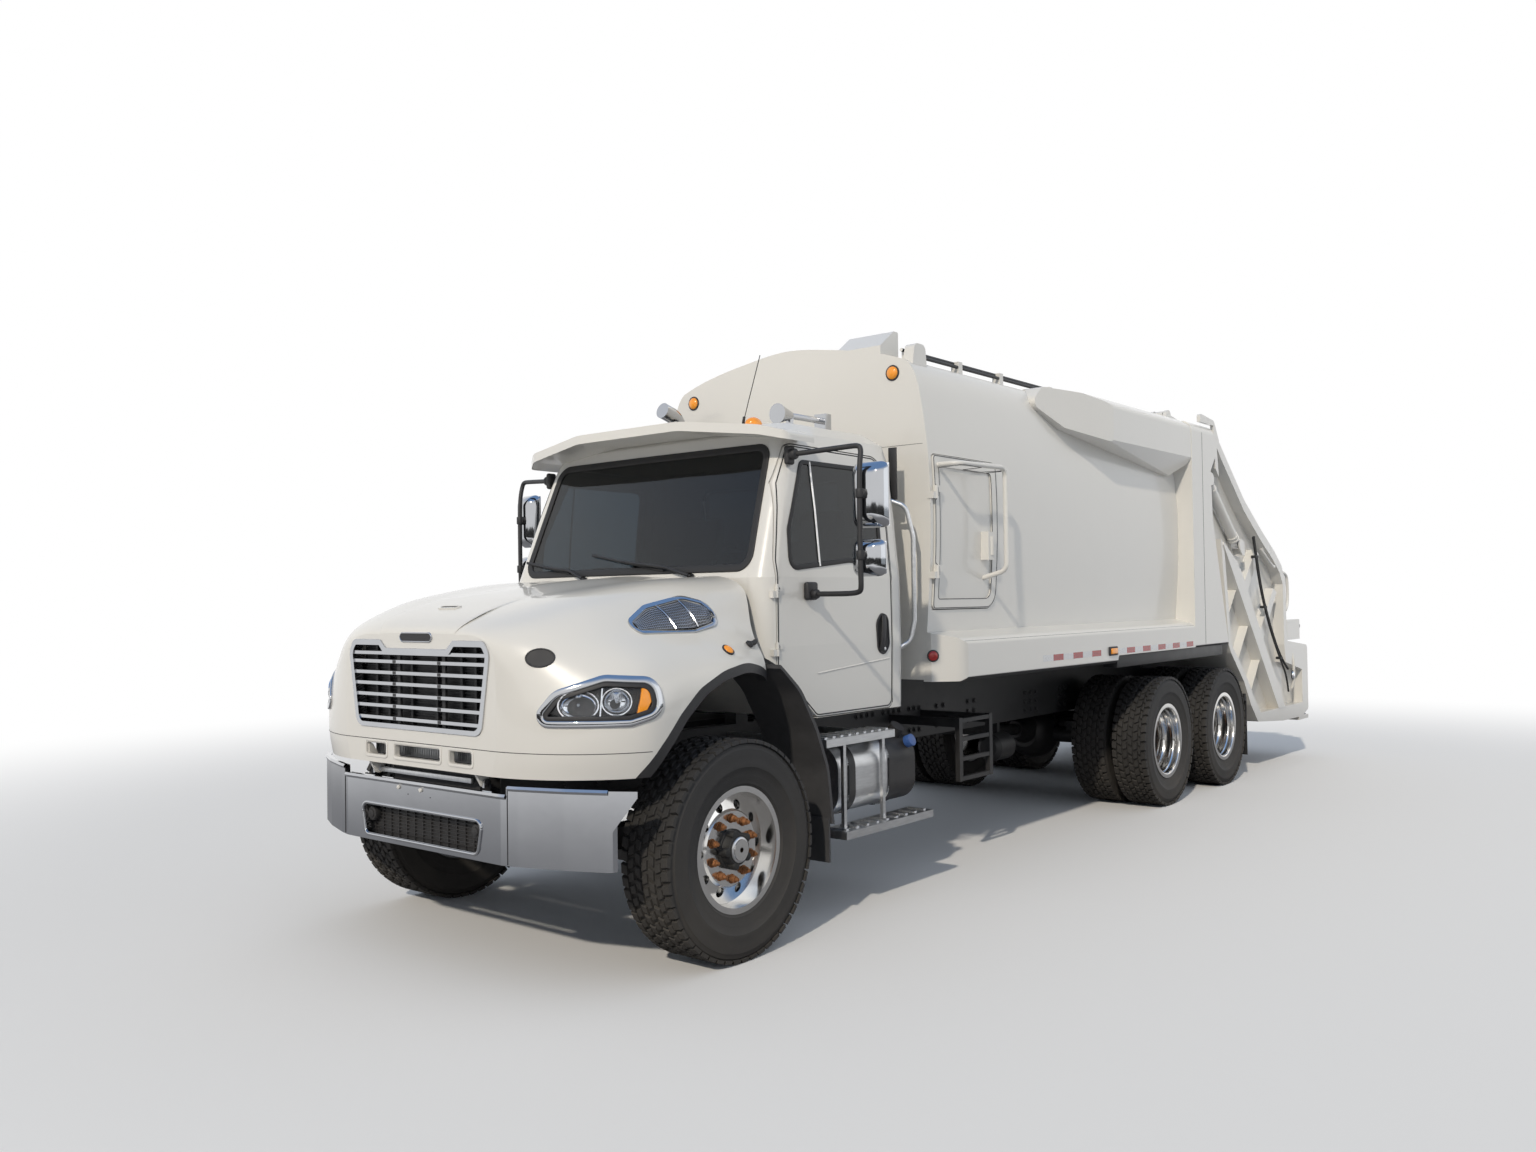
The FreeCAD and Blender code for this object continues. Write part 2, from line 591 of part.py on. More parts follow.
def make_driveshaft():
    """The two-piece shaft from gearbox to first axle with its hanger,
    and the short shaft between the axles."""
    joint = (-2650.0, 0.0, 800.0)
    nose = (REAR_AXLE_1 + 343.5, 0.0, REAR_TYRE_RADIUS + 53)
    front = rod((-1152.5, 0, 830), joint, 52.0)
    rear = rod(joint, nose, 48.0)
    hanger = box(joint[0] - 30, joint[0] + 30, -70, 70, joint[2], RAIL_TOP - 110)
    short = rod((REAR_AXLE_1 - 191.5, 0, REAR_TYRE_RADIUS + 30),
                (REAR_AXLE_2 + 343, 0, REAR_TYRE_RADIUS + 52.6), 45.0)
    ball = Part.makeSphere(70.0, vec(*joint))
    save("driveshaft", Part.makeCompound([fuse(front, rear, ball, hanger), short]))


def make_radiator():
    """The cooler stack that shows through the grille, on the front cross member, with its fan shroud."""
    low = RAIL_BOTTOM + 95
    core = fuse(box(700, 850, -340, 340, low, 1100), box(700, 850, -405, 405, RAIL_TOP + 10, 1440))
    lip = [box(850, 868, s * 405, s * 370, RAIL_TOP + 10, 1440) for s in (1, -1)]
    bars = [box(850, 868, -405, 405, z, z + 26) for z in (RAIL_TOP + 10, 1200.0, 1414.0)]
    shroud = Part.makeCone(325.0, 280.0, 60.0, vec(700, 0, 1185), vec(-1, 0, 0))
    save("radiator", fuse(core, shroud, *lip, *bars))


# Hood

HOOD_SECTIONS = [
    # station, then (y, z) from the lower edge, over the fender and the shoulder, to the crown
    (955.0, [(560, 926), (588, 1000), (600, 1080), (602, 1200), (598, 1320), (588, 1430), (545, 1510),
             (300, 1552), (0, 1560)]),
    (925.0, [(735, 926), (760, 1000), (770, 1085), (765, 1205), (735, 1325), (690, 1455), (600, 1545),
             (310, 1592), (0, 1602)]),
    (850.0, [(905, 926), (930, 1000), (942, 1090), (930, 1225), (880, 1350), (790, 1485), (655, 1587),
             (325, 1634), (0, 1645)]),
    (730.0, [(1050, 926), (1072, 1000), (1086, 1100), (1076, 1250), (1010, 1385), (880, 1515), (705, 1632),
             (345, 1676), (0, 1687)]),
    (580.0, [(1150, 926), (1170, 1010), (1182, 1120), (1172, 1280), (1095, 1420), (930, 1545), (745, 1676),
             (365, 1717), (0, 1727)]),
    (380.0, [(1180, 926), (1190, 1030), (1196, 1160), (1184, 1325), (1108, 1452), (955, 1570), (785, 1708),
             (390, 1750), (0, 1760)]),
    (100.0, [(1184, 926), (1192, 1060), (1197, 1250), (1178, 1400), (1098, 1490), (968, 1595), (832, 1738),
             (420, 1785), (0, 1797)]),
    (-160.0, [(1150, 926), (1160, 1080), (1163, 1280), (1140, 1415), (1070, 1490), (980, 1595), (868, 1748),
              (450, 1806), (0, 1820)]),
    (-400.0, [(1085, 926), (1092, 1100), (1090, 1300), (1072, 1415), (1030, 1480), (968, 1595), (898, 1748),
              (480, 1822), (0, 1838)]),
]
ARCH = [(640, 900), (606, 950, 60), (520, 1060, 200), (401, 1190, 300), (268, 1296, 300), (95, 1370, 400),
        (-86, 1399, 400), (-298, 1362, 300),
        (-460, 1215, 300), (-589, 1010, 300), (-680, 800, 300), (-720, 500)]


def inset(points, distance):
    """A half section moved inwards by a distance, square to the line through it."""
    moved = []
    for i, (y, z) in enumerate(points):
        y0, z0 = points[max(i - 1, 0)]
        y1, z1 = points[min(i + 1, len(points) - 1)]
        if i == len(points) - 1:
            moved.append((0.0, z - distance))
            continue
        length = math.hypot(y1 - y0, z1 - z0)
        moved.append((y - distance * (z1 - z0) / length, z + distance * (y1 - y0) / length))
    return moved


def hood_solid(distance, drop=0.0):
    """The left half of the hood's outer form, moved inwards by a distance.

    drop carries its lower edge down.
    """
    wires = []
    for i, (station, half) in enumerate(HOOD_SECTIONS):
        points = inset(half, distance) if distance else half
        x = station - distance if i == 0 else station
        if i == len(HOOD_SECTIONS) - 1 and distance:
            x = station - 60.0
        points = [(points[0][0], points[0][1] - drop)] + list(points[1:])
        line = [vec(x, y, z) for y, z in points]
        curve = Part.BSplineCurve()
        reach = (line[-1] - line[-2]).Length
        curve.interpolate(Points=line, InitialTangent=line[1] - line[0], FinalTangent=vec(0, -reach, 0))
        foot = vec(x, 0, line[0].z)
        wires.append(Part.Wire([curve.toShape(), Part.makeLine(line[-1], foot),
                                Part.makeLine(foot, line[0])]))
    return Part.makeLoft(wires, True, False)


def arch_tool(grow, y0, y1):
    """The wheel arch as a block across the fender, made wider by grow."""
    points = []
    for x, z, *r in ARCH:
        aside = grow if x > 0 else -grow
        points.append((x, z + grow, *r) if z > 1300 else (x + aside, z + grow * 0.6, *r))
    return prism("xz", points, y0, y1)


GRILLE_OUTER = [(-498, 1100, 60), (498, 1100, 60), (560, 1470, 70), (520, 1528, 40), (292, 1528, 30),
                (245, 1487, 30), (-245, 1487, 30), (-292, 1528, 30), (-520, 1528, 40), (-560, 1470, 70)]
GRILLE_INNER = [(-474, 1122, 40), (474, 1122, 40), (532, 1462, 50), (505, 1500, 20), (300, 1500, 10),
                (262, 1462, 20), (-262, 1462, 20), (-300, 1500, 10), (-505, 1500, 20), (-532, 1462, 50)]
GRILLE_BARS = [1147.0, 1206.0, 1260.0, 1314.0, 1367.0, 1421.0, 1462.0]


def headlamp_tool(grow, depth):
    """A teardrop block aimed at the fender's front corner."""
    centre = (705.0, 965.0)
    points = [(-292 - grow, 1168 - grow, 46), (150 + grow, 1168 - grow, 90), (292 + grow, 1205, 70),
              (262 + grow, 1352 + grow, 80), (40, 1368 + grow, 120), (-170, 1300 + grow, 120)]
    tool = prism("yz", points, -depth, depth)
    tool.rotate(vec(0, 0, 0), vec(0, 0, 1), 47)
    tool.translate(vec(centre[0], centre[1], 0))
    return tool


def intake_tool(grow):
    """A leaf-shaped block through the hood's side, under its shoulder."""
    points = [(500 + grow, 1560, 20), (120, 1560 - grow, 160), (-70 - grow, 1590, 60),
              (-80 - grow, 1665, 60), (60, 1700 + grow, 120), (300, 1655 + grow, 160)]
    return prism("xz", points, 700, 1250)


def make_hood():
    """The tilting hood with its fenders, as one thick shell, and what is set into it.

    Worked on the left half.
    """
    wall = 26.0
    outer = hood_solid(0.0)
    shell = outer.cut(hood_solid(wall, 60.0))
    back = CAB_FRONT + 14 + HOOD_GAP
    rear_cut = prism("xz", [(-600, 800), (-304, 1300), (-304, 1420), (back, 1740), (back, 1900),
                            (-600, 1900)], -10, 1300)
    tools = [rear_cut, arch_tool(0, 560, 1300), prism("yz", GRILLE_OUTER, 880, 1000)]
    for y0, y1 in ((-180, 180), (255, 420)):
        tools.append(prism("yz", [(y0, 965, 12), (y1, 965, 12), (y1, 1022, 12), (y0, 1022, 12)], 880, 1000))
    tools += [headlamp_tool(SEAT_GAP, 330), intake_tool(SEAT_GAP)]
    hood = shell.cut(tools)
    px, pz = HOOD_PIVOT
    hinge = prism("xz", [(px - 18, pz - 18, 14), (px + 18, pz - 18, 14), (944, 935), (944, 1010),
                         (925, 1010), (px - 18, pz + 30, 20)], HOOD_ARM_Y, HOOD_ARM_Y + HOOD_ARM)
    hinge = hinge.cut(rod((px, HOOD_ARM_Y - 5, pz), (px, HOOD_ARM_Y + HOOD_ARM + 5, pz), HOOD_PIN + 0.08))
    hood = fuse(hood, hinge)
    save("hood_shell", fuse(hood, mirrored(hood)))

    lamp_body = outer.cut(hood_solid(70.0, 60.0)).common(headlamp_tool(0, 330))
    save("headlamps", both(lamp_body))
    screen = outer.cut(hood_solid(18.0, 60.0)).common(intake_tool(0))
    slats = [box(-200, 600, 700, 1250, z, z + 14) for z in (1585.0, 1613.0, 1641.0, 1669.0)]
    rim = screen.cut(intake_tool(-16))
    screen = fuse(rim, *[screen.common(s) for s in slats])

    frame = prism("yz", [(y * 0.999, z + (SEAT_GAP if z < 1200 else -SEAT_GAP), *r) for y, z,
                         *r in GRILLE_OUTER], 915, 962)
    frame = frame.cut(prism("yz", GRILLE_INNER, 900, 1000))
    bars = []
    for z in GRILLE_BARS:
        reach = 478 + (z - 1122) * 0.17
        bars.append(box(925, 956, -reach - 8, reach + 8, z - 8, z + 8))
    posts = [box(917, 930, y - 12, y + 12, 1105, 1480) for y in (-180.0, 180.0)]
    save("grille", fuse(frame, *bars, *posts))

    band = outer.common(box(-310, 700, 1000, 1300, 926, 1500)).cut(hood_solid(60.0, 60.0))
    band = band.common(arch_tool(-SEAT_GAP, 1000, 1300)).cut([arch_tool(-46, 1000, 1300), rear_cut])
    liner = arch_tool(-3, 640, 1105).cut(arch_tool(-16, 600, 1300)).common(box(-300, 612, 600, 1200, 950,
            1500))
    save("hood_trim", both(Part.makeCompound(fuse(band, liner).Solids + screen.Solids)))


# Cab

def cab_ring(front, rear, half, bow, front_corner, rear_corner, z):
    """One level of the cab in plan: a bowed front, straight sides and rounded corners."""
    a = (front - front_corner * 0.9, half)
    b = (front - bow * 0.35, half - front_corner)
    edges = [
        Part.Arc(vec(b[0], -b[1], z), vec(front + bow, 0, z), vec(b[0], b[1], z)).toShape(),
        Part.Arc(vec(b[0], b[1], z), vec(b[0] - front_corner * 0.24, b[1] + front_corner * 0.76, z),
                 vec(a[0], a[1], z)).toShape(),
        Part.makeLine(vec(a[0], a[1], z), vec(rear + rear_corner, half, z)),
        Part.Arc(vec(rear + rear_corner, half, z), vec(rear + rear_corner * 0.293,
                                                       half - rear_corner * 0.293, z),
                 vec(rear, half - rear_corner, z)).toShape(),
        Part.makeLine(vec(rear, half - rear_corner, z), vec(rear, rear_corner - half, z)),
        Part.Arc(vec(rear, rear_corner - half, z), vec(rear + rear_corner * 0.293,
                                                       rear_corner * 0.293 - half, z),
                 vec(rear + rear_corner, -half, z)).toShape(),
        Part.makeLine(vec(rear + rear_corner, -half, z), vec(a[0], -a[1], z)),
        Part.Arc(vec(a[0], -a[1], z), vec(b[0] - front_corner * 0.24, -b[1] - front_corner * 0.76, z),
                 vec(b[0], -b[1], z)).toShape(),
    ]
    return Part.Wire(edges)


CAB_LEVELS = [
    # height, how far the front leans back, half width, front corner radius
    (CAB_FLOOR, 0.0, CAB_HALF_WIDTH - 8, 130.0),
    (1450.0, 0.0, CAB_HALF_WIDTH, 130.0),
    (BELT_LINE, 4.0, CAB_HALF_WIDTH - 6, 130.0),
    (2180.0, 140.0, CAB_HALF_WIDTH - 42, 110.0),
    (2500.0, 262.0, CAB_HALF_WIDTH - 84, 100.0),
    (ROOF_EDGE, 310.0, CAB_HALF_WIDTH - 118, 100.0),
    (ROOF_EDGE + 62, 390.0, CAB_HALF_WIDTH - 190, 100.0),
    (ROOF_EDGE + 100, 560.0, CAB_HALF_WIDTH - 380, 90.0),
]


def cab_solid(distance):
    """The cab's outer form, moved inwards by a distance."""
    wires = []
    for i, (z, lean, half, corner) in enumerate(CAB_LEVELS):
        height = z + distance if i == 0 else z - distance * (1.0 if i > 4 else 0.0)
        rear = CAB_REAR + max(0.0, (z - ROOF_EDGE) * 1.6)
        wires.append(cab_ring(CAB_FRONT - lean - distance, rear + distance, half - distance, 14.0,
                              max(corner - distance, 20.0), max(90.0 - distance, 20.0), height))
    return Part.makeLoft(wires, True, True)


def door_points(grow):
    """The door's outline in side view, made wider by grow on every side."""
    g = grow
    return [(-505 + g, 1352 - g * 0.4), (-840, 1068 - g, 60), (-1566 - g, CAB_FLOOR + 6 - g, 50),
            (-1578 - g, 2518 + g, 90),
            (-720 + g * 0.7, 2526 + g, 60), (-620 + g, 2315), (-515 + g, 1900, 200)]


def door_block(grow):
    """The door's outline carried through the side wall only, so that it stays clear of the windshield."""
    side = [(1100, 1000), (CAB_HALF_WIDTH - 83, 1000), (CAB_HALF_WIDTH - 81, BELT_LINE),
            (CAB_HALF_WIDTH - 117, 2180), (CAB_HALF_WIDTH - 164, 2526), (CAB_HALF_WIDTH - 180, 2600),
            (1100, 2600)]
    side = [(y - (grow if y < 1000 else 0), z) for y, z in side]
    return prism("xz", door_points(grow), 700, 1100).common(prism("yz", side, -1800, -400))


def window_points(grow):
    g = grow
    return [(-628 + g, 1850 - g, 60), (-1160, 1902 - g, 60), (-1486 - g, 1902 - g, 60),
            (-1496 - g, 2440 + g, 70), (-812 + g * 0.7, 2440 + g, 50), (-640 + g, 2060, 80)]


def windshield_points(grow):
    g = grow
    return [(-900 - g, 1850 - g, 90), (900 + g, 1850 - g, 90), (836 + g, 2530 + g, 90),
            (-836 - g, 2530 + g, 90)]


def door_hinges(low, reach0, reach1):
    """One half of both hinges: knuckles that start low above the hinge's middle,
    each on a leaf from x reach0 to reach1."""
    hx, hy = DOOR_HINGE
    pieces = []
    for z in DOOR_HINGE_Z:
        z0, z1 = z + low, z + low + DOOR_KNUCKLE
        pieces.append(fuse(rod((hx, hy, z0), (hx, hy, z1), DOOR_HINGE_RADIUS),
                           box(reach0, reach1, hy - 20, hy + 4, z0, z1)))
    return pieces


def door_sockets(low):
    """Room for the other half's knuckles."""
    hx, hy = DOOR_HINGE
    return [rod((hx, hy, z + low - 1), (hx, hy, z + low + DOOR_KNUCKLE + 1), DOOR_HINGE_RADIUS + 1.5)
            for z in DOOR_HINGE_Z]


def make_cab():
    """The cab: a hollow shell with its doors and windows cut,
    then the doors and glass from the same walls."""
    outer, inner = cab_solid(0.0), cab_solid(CAB_WALL)
    shell = outer.cut(inner)
    toe_cut = prism("xz", [(-200, 1000), (-845, 1000), (-845, 1062), (-520, 1345, 60), (-400, 1432),
                           (-200, 1432)], -1100, 1100)
    toe_wall = prism("xz", [(-845, 1062), (-520, 1345, 60), (-440, 1403), (-440, 1470), (-545, 1395, 60),
                            (-860, 1108)], -928, 928)
    glass_hole = prism("yz", windshield_points(0), -1020, -200)
    rear_hole = prism("yz", [(-560, 1960, 60), (560, 1960, 60), (560, 2420, 60), (-560, 2420, 60)],
                      CAB_REAR - 50, CAB_REAR + 300)
    doorway = door_block(DOOR_GAP)
    shell = shell.cut([toe_cut, doorway, mirrored(doorway), glass_hole, rear_hole])
    sockets = door_sockets(SEAT_GAP)
    shell = shell.cut(sockets + [mirrored(s) for s in sockets])
    hinges = door_hinges(-DOOR_KNUCKLE, DOOR_HINGE[0] + 2, DOOR_HINGE[0] + 36)
    save("cab_shell", fuse(shell, toe_wall, *hinges, *[mirrored(h) for h in hinges]))

    skin = outer.cut(cab_solid(GLASS))
    windshield = skin.common(prism("yz", windshield_points(-SEAT_GAP), -1020, -200))
    rear_glass = skin.common(prism("yz", [(-559.7, 1960.3, 60), (559.7, 1960.3, 60), (559.7, 2419.7, 60),
                                          (-559.7, 2419.7, 60)], CAB_REAR - 50, CAB_REAR + 300))
    save("cab_glass", Part.makeCompound([windshield, rear_glass]))

    wall = outer.cut(inner)
    blank = wall.common(door_block(0))
    door = blank.cut(prism("xz", window_points(0), 700, 1100)).cut([toe_cut] + door_sockets(-DOOR_KNUCKLE))
    door = fuse(door, *door_hinges(SEAT_GAP, DOOR_HINGE[0] - 40, DOOR_HINGE[0] - 4))
    pane = skin.common(prism("xz", window_points(-SEAT_GAP), 700, 1100))
    for side, sign in (("left", 1), ("right", -1)):
        save("door_" + side, door if sign > 0 else mirrored(door))
        save("door_glass_" + side, pane if sign > 0 else mirrored(pane))

    plan = prism("xy", [(-830, -1030), (-600, -1028, 60), (-510, -900, 200), (-425, -400, 500),
                        (-425, 400, 500), (-510, 900, 200), (-600, 1028, 60), (-830, 1030)], 2400, 2800)
    brow = prism("yz", [(-1030, 2530), (-1028, 2575, 40), (-900, 2612, 300), (-400, 2668, 600),
                        (400, 2668, 600), (900, 2612, 300), (1028, 2575, 40), (1030, 2530),
                        (900, 2560, 300), (400, 2618, 600), (-400, 2618, 600), (-900, 2560, 300)], -900,
                                -400)
    visor = brow.common(plan).common(box(-900, -400, -1100, 1100, 2400, 2800)).cut(cab_solid(-SEAT_GAP))
    save("sun_visor", visor)


def make_cab_interior():
    """Dashboard with its column and wheel, and two seats on pedestals."""
    dash = prism("xz", [(-392, 1480), (-392, 1770, 40), (-560, 1795, 60), (-700, 1700, 60),
                        (-690, 1560, 40), (-560, 1470)], -940, 940)
    dash = dash.common(cab_solid(CAB_WALL + SEAT_GAP))
    column = rod((-600, 480, 1660), (-842, 480, 1766), 34.0)
    tilt = Vector(-0.92, 0, 0.39)
    wheel = Part.makeTorus(212.0, 15.0, vec(-850, 480, 1770), tilt)
    boss = Part.makeCylinder(60.0, 26.0, vec(-836, 480, 1764), tilt)
    spoke = box(-14, 14, -205, 205, -8, 8)
    spoke.rotate(vec(0, 0, 0), vec(0, 1, 0), -67)
    spoke.translate(vec(-850, 480, 1770))
    save("dashboard", fuse(dash, column, wheel, boss, spoke))

    seats = []
    floor = CAB_FLOOR + CAB_WALL
    for y in (480.0, -480.0):
        base = box(-1440, -1080, y - 170, y + 170, floor, 1420)
        cushion = prism("xz", [(-1000, 1420, 20), (-1500, 1420, 20), (-1520, 1540, 30), (-985, 1560, 50)],
                        y - 250, y + 250)
        back = prism("xz", [(-1440, 1500), (-1580, 2060, 40), (-1650, 2060, 30), (-1540, 1480)], y - 245,
                     y + 245)
        rest = prism("xz", [(-1560, 2040), (-1590, 2230, 30), (-1650, 2230, 30), (-1640, 2040)], y - 140,
                     y + 140)
        seats.append(fuse(base, cushion, back, rest))
    save("seats", Part.makeCompound(seats))


def make_mirrors():
    """A bent arm from the door's frame to its lower panel, with two mirror heads on it."""
    x, y = -860.0, 1345.0
    foot_y = CAB_HALF_WIDTH - 4
    arm = pipe([(-700, 955, 2460), (-700, 1000, 2470), (x, y, 2478), (x, y, 1742),
                (-772, foot_y + 40, 1722), (-772, foot_y - 12, 1722)], 14.0, 60.0)
    feet = [box(-735, -670, 942, 975, 2410, 2510), box(-822, -730, foot_y - 4, foot_y + 36, 1690, 1786)]
    big = box(x - 16, x + 66, y - 90, y + 135, 2050, 2415)
    big = big.makeFillet(24.0, [e for e in big.Edges if e.Length > 300])
    small = box(x - 14, x + 90, y - 92, y + 118, 1800, 2010)
    small = small.makeFillet(30.0, [e for e in small.Edges if e.Length > 180])
    for shape in (big, small):
        shape.rotate(vec(x, y, 0), vec(0, 0, 1), 8)
    whole = fuse(arm, *feet, big, small)
    whole = whole.cut(cab_solid(0.0))
    save("mirror_left", whole)
    save("mirror_right", mirrored(whole))


def make_cab_outside():
    """Roof lamps and horn, grab handles, exhaust stack, steps, fuel tank and battery box."""
    lamps = []
    for y in (-520.0, -170.0, 0.0, 170.0, 520.0):
        lamp = Part.makeCone(46.0, 22.0, 48.0, vec(-860, y, 2640), vec(0, 0, 1))
        lamps.append(lamp.cut(cab_solid(-SEAT_GAP)))
    horn = fuse(Part.makeCone(24.0, 58.0, 120.0, vec(-1120, 640, 2750), vec(1, 0, 0)),
                rod((-1460, 640, 2750), (-1110, 640, 2750), 18.0),
                box(-1460, -1400, 600, 680, 2600, 2790), box(-1130, -1100, 625, 655, 2600, 2750))
    horn = horn.cut(cab_solid(-SEAT_GAP))
    save("roof_lamps", Part.makeCompound(lamps))
    save("air_horn", horn)

    rail = pipe([(-1700, 930, 2275), (-1745, 1010, 2240), (-1765, 1046, 2060), (-1765, 1046, 1560),
                 (-1745, 1030, 1440), (-1690, 985, 1400)], 14.0, 70.0)
    rail = rail.cut(cab_solid(-SEAT_GAP))
    save("grab_handles", both(rail))

    x = (CAB_REAR + BODY_FRONT) / 2
    stack = pipe([(x, -860, RAIL_TOP - 20), (x, -860, 2740), (x + 60, -860, 2960), (x + 200, -860, 3000)],
                 55.0, 160.0)
    can = rod((x, -860, 1150), (x, -860, 2000), 72.0)
    stay = box(x - 40, x + 40, -860, -RAIL_OUTER_Y, RAIL_TOP - 90, RAIL_TOP - 20)
    save("exhaust_stack", fuse(stack, can, stay))


def tread(x0, x1, y0, y1, z):
    """A folded step plate with a toothed grip: ridges stand on its top."""
    plate = box(x0, x1, y0, y1, z - 42, z)
    hollow = box(x0 + 8, x1 - 8, y0 + 8, y1 - 8, z - 50, z - 8)
    ridges = []
    count = 9
    pitch = (x1 - x0) / count
    for k in range(count):
        middle = x0 + pitch * (k + 0.5)
        ridges.append(box(middle - 12, middle + 12, y0 + 30, y1 - 30, z - 4, z + 8))
    return fuse(plate.cut(hollow), *ridges)


def make_steps_and_tanks():
    """Cab steps both sides on hangers from the rail, the fuel tank on the left,
    the battery box on the right."""
    tank_x = (-1700.0, -940.0)
    tank_y = (620.0, 1075.0)
    tank = prism("yz", [(tank_y[0], 520, 130), (tank_y[1], 520, 130), (tank_y[1], 900, 130),
                        (tank_y[0], 900, 130)], *tank_x)
    straps = []
    for x in (-1060.0, -1450.0):
        outer = prism("yz", [(tank_y[0] - 8, 512, 136), (tank_y[1] + 8, 512, 136),
                             (tank_y[1] + 8, 908, 136), (tank_y[0] - 8, 908, 136)], x - 30, x + 30)
        hanger = box(x - 30, x + 30, RAIL_OUTER_Y, tank_y[0] + 60, 560, 860)
        straps.append(fuse(outer, hanger))
    neck = rod((-1620, 960, 880), (-1620, 1010, 950), 44.0)
    save("fuel_tank", fuse(tank, neck, *straps))

    chest = box(-1650, -960, -1060, -RAIL_OUTER_Y - 60, 540, 900)
    chest = chest.makeFillet(40.0, [e for e in chest.Edges if abs(e.Length - 690) < 1])
    arms = [box(x - 30, x + 30, -RAIL_OUTER_Y - 70, -RAIL_OUTER_Y, 600, 860) for x in (-1080.0, -1520.0)]
    save("battery_box", fuse(chest, *arms))

    upper = tread(-1380, -740, 950, 1150, 960)
    lower = tread(-1740, -880, 1000, 1170, 462)
    legs = []
    for x in (-960.0, -1330.0):
        legs.append(box(x - 12, x + 12, 1086, 1106, 440, 956))
    for x in (-800.0, -1300.0):
        legs.append(box(x - 20, x + 20, RAIL_OUTER_Y, 1000, 922, 956))
    steps = fuse(upper, lower, *legs)
    save("cab_steps", both(steps))


# Refuse body

BODY_SIDE = [(1020, BODY_FLOOR), (1046, 1450), (1066, 1700), (1082, 1940), (BODY_HALF_WIDTH, 2200),
             (1083, 2450), (1064, 2680), (1036, 2870), (1004, 3020), (975, 3090), (925, 3148)]
BODY_ROOF = [(925, 3148), (772, 3201), (584, 3247), (300, 3295), (0, BODY_CROWN)]


def body_section(distance):
    """The load body's cross section as two curved edges a side and a flat floor,
    moved inwards by a distance."""
    def shifted(points):
        result = []
        for i, (y, z) in enumerate(points):
            y0, z0 = points[max(i - 1, 0)]
            y1, z1 = points[min(i + 1, len(points) - 1)]
            length = math.hypot(y1 - y0, z1 - z0)
            result.append((y - distance * (z1 - z0) / length, z + distance * (y1 - y0) / length))
        return result
    side = shifted(BODY_SIDE)
    roof = shifted(BODY_ROOF)
    corner = ((side[-1][0] + roof[0][0]) / 2, (side[-1][1] + roof[0][1]) / 2)
    side[-1] = roof[0] = corner
    side[0] = (side[0][0], BODY_FLOOR + distance)
    roof[-1] = (0.0, BODY_CROWN - distance)
    whole_roof = roof + [(-y, z) for y, z in roof[-2::-1]]

    def spline(points):
        curve = Part.BSplineCurve()
        curve.interpolate([vec(0, y, z) for y, z in points])
        return curve.toShape()
    left = spline(side)
    right = spline([(-y, z) for y, z in side[::-1]])
    floor = Part.makeLine(vec(0, -side[0][0], side[0][1]), vec(0, side[0][0], side[0][1]))
    return Part.Face(Part.Wire([left, spline(whole_roof), right, floor]))


def body_solid(distance, x0, x1):
    face = body_section(distance)
    face.translate(vec(x0, 0, 0))
    return face.extrude(vec(x1 - x0, 0, 0))


def seam_side(gap):
    """A block that holds everything in front of the tailgate seam, pulled forward by gap."""
    return prism("xz", [(BODY_FRONT + 400, 900), (SEAM_BOTTOM_X + gap - 52, 900),
                        (SEAM_BOTTOM_X + gap, SEAM_BOTTOM_Z), (SEAM_TOP_X + gap, SEAM_TOP_Z),
                        (SEAM_TOP_X + gap + 8, 3420), (BODY_FRONT + 400, 3420)], -1400, 1400)


ACCESS = (-2700.0, -1935.0, 1625.0, 2560.0)
ACCESS_HINGE = (-1932.0, 1108.0)
ACCESS_HINGE_Z = (1850.0, 2330.0)


def access_block(grow):
    x0, x1, z0, z1 = ACCESS
    g = grow
    return prism("xz", [(x0 - g, z0 - g, 110), (x1 + g, z0 - g, 30), (x1 + g, z1 + g, 30),
                        (x0 - g, z1 + g, 40)], 900, 1150)


